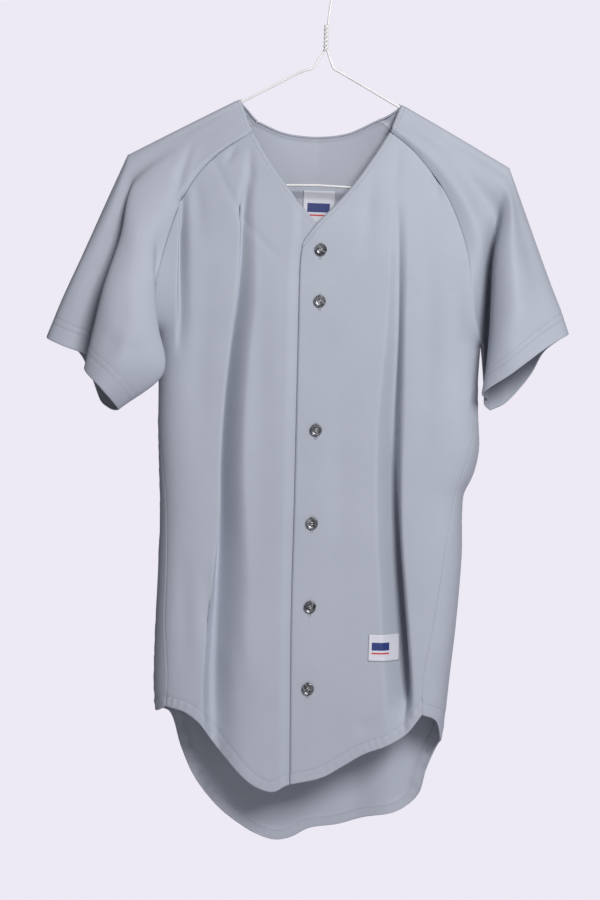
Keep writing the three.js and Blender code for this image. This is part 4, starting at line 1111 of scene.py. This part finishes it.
def hanger_path():
    """The wire's middle line, from one end of the twist round the hanger to the hook's tip."""
    top, half_top, tip_x, tip_z = (HANGER[key] for key in ("joint", "half_top", "tip_x", "tip_z"))
    bar_x, bar_z, corner, hook, stem = (HANGER[key] for key in ("bar_x", "bar_z", "corner", "hook", "stem"))
    slope = math.degrees(math.atan2(top - 1 - tip_z, tip_x - half_top))
    fall = 40 * math.tan(math.radians(slope))
    return np.vstack([
        twist(math.pi, True),
        [(-3.6, 0, top + 12), (-9, 0, top + 3), (-half_top, 0, top - 1),
         (-half_top - 40, 0, top - 1 - fall)],
        arc(-tip_x + corner, tip_z - corner + 1, corner, 90 + slope, 235, 5),
        [(-bar_x, 0, bar_z), (0, 0, bar_z), (bar_x, 0, bar_z)],
        arc(tip_x - corner, tip_z - corner + 1, corner, -55, 90 - slope, 5),
        [(half_top + 40, 0, top - 1 - fall), (half_top, 0, top - 1), (13, 0, top + 3), (9, 0, top + 12)],
        twist(0, False),
        [(stem + 2, 0, -59), (stem + 3.8, 0, -43), (stem + 5.6, 0, -36.6)],
        arc(0, WIRE["radius"] - hook, hook, -48, 205, 15),
    ])


def wire_mesh(name, path, material):
    """A round wire along a path, its section carried along without twisting."""
    run = np.gradient(path, axis=0)
    run /= np.linalg.norm(run, axis=1, keepdims=True)
    side = np.cross(run[0], (0, 1, 0))
    turns = (np.arange(WIRE["sides"]) * math.tau / WIRE["sides"])[:, None]
    rings = []
    for spot, forward in zip(path, run):
        side = unit(side - forward * (side @ forward))
        rings.append(spot + WIRE["radius"] * (np.cos(turns) * side + np.sin(turns) * np.cross(forward, side)))
    vertices = np.vstack([path[0] - run[0] * WIRE["tip"], *rings, path[-1] + run[-1] * WIRE["tip"]])
    return mesh_object(name, vertices, ring_faces(len(path), WIRE["sides"]), material)


def enamel_material():
    material, tree, shader = new_material("white_enamel", {"Coat Weight": 0.3, "Coat Roughness": 0.2})
    wear = noise(tree, 60, 5)
    link(tree, shader, {
        "Base Color": mix_colors(tree, spread(tree, wear, 0.35, 0.7, 0, 1),
                                 (0.86, 0.86, 0.84), (0.74, 0.73, 0.71)),
        "Roughness": spread(tree, wear, 0.3, 0.7, 0.28, 0.42),
        "Normal": relief(tree, wear, 0.2, 0.0002),
    })
    return material


keys = hanger_path()
wire_path = curve(keys, np.linspace(0, 1, WIRE["steps"] * (len(keys) - 1) + 1))
dress(wire_mesh("bent_wire", wire_path, enamel_material()), "wire", "hanger")

# Studio: one soft light before the shirt
key = bpy.data.lights.new("key", "AREA")
key.shape = "SQUARE"
key.size = 0.9
key.energy = 68
key.color = (0.99, 0.985, 1.0)
lamp = bpy.data.objects.new("key", key)
lamp.location = (0.85, -2.2, 0.75)
lamp.rotation_euler = (Vector((0, 0, -0.5)) - lamp.location).to_track_quat("-Z", "Y").to_euler()
scene.collection.objects.link(lamp)

# The room is pale to the eye and dimmer as a light, so that folds keep their shade
PALE = (0.855, 0.82, 0.91)
world = bpy.data.worlds.new("studio")
world.use_nodes = True
sky = world.node_tree
seen = node(sky, "ShaderNodeLightPath").outputs["Is Camera Ray"]
link(sky, sky.nodes["Background"], {"Color": mix_colors(sky, seen, (0.10, 0.103, 0.112), PALE)})
scene.world = world
scene.view_settings.view_transform = "Standard"

FLOOR_LEVEL = -1.25
FLOOR_RADIUS = 60
turns = np.linspace(0, math.tau, 97)[:-1]
ring = [(FLOOR_RADIUS * math.cos(a), FLOOR_RADIUS * math.sin(a), FLOOR_LEVEL) for a in turns]
floor_mesh = bpy.data.meshes.new("floor")
floor_mesh.from_pydata(ring, [], [tuple(range(len(ring)))])
floor = bpy.data.objects.new("floor", floor_mesh)
scene.collection.objects.link(floor)
material, tree, shader = new_material("pale_floor", {"Roughness": 0.9})
tone = mix_colors(tree, noise(tree, 3, 4), (0.80, 0.78, 0.83), (0.84, 0.82, 0.87))
link(tree, shader, {"Base Color": tone})
glow = node(tree, "ShaderNodeEmission", {"Color": (*PALE, 1)})
blend = node(tree, "ShaderNodeMixShader", {
    0: node(tree, "ShaderNodeLightPath").outputs["Is Camera Ray"],
    1: shader.outputs["BSDF"], 2: glow.outputs["Emission"]})
link(tree, tree.nodes["Material Output"], {"Surface": blend.outputs["Shader"]})
floor_mesh.materials.append(material)
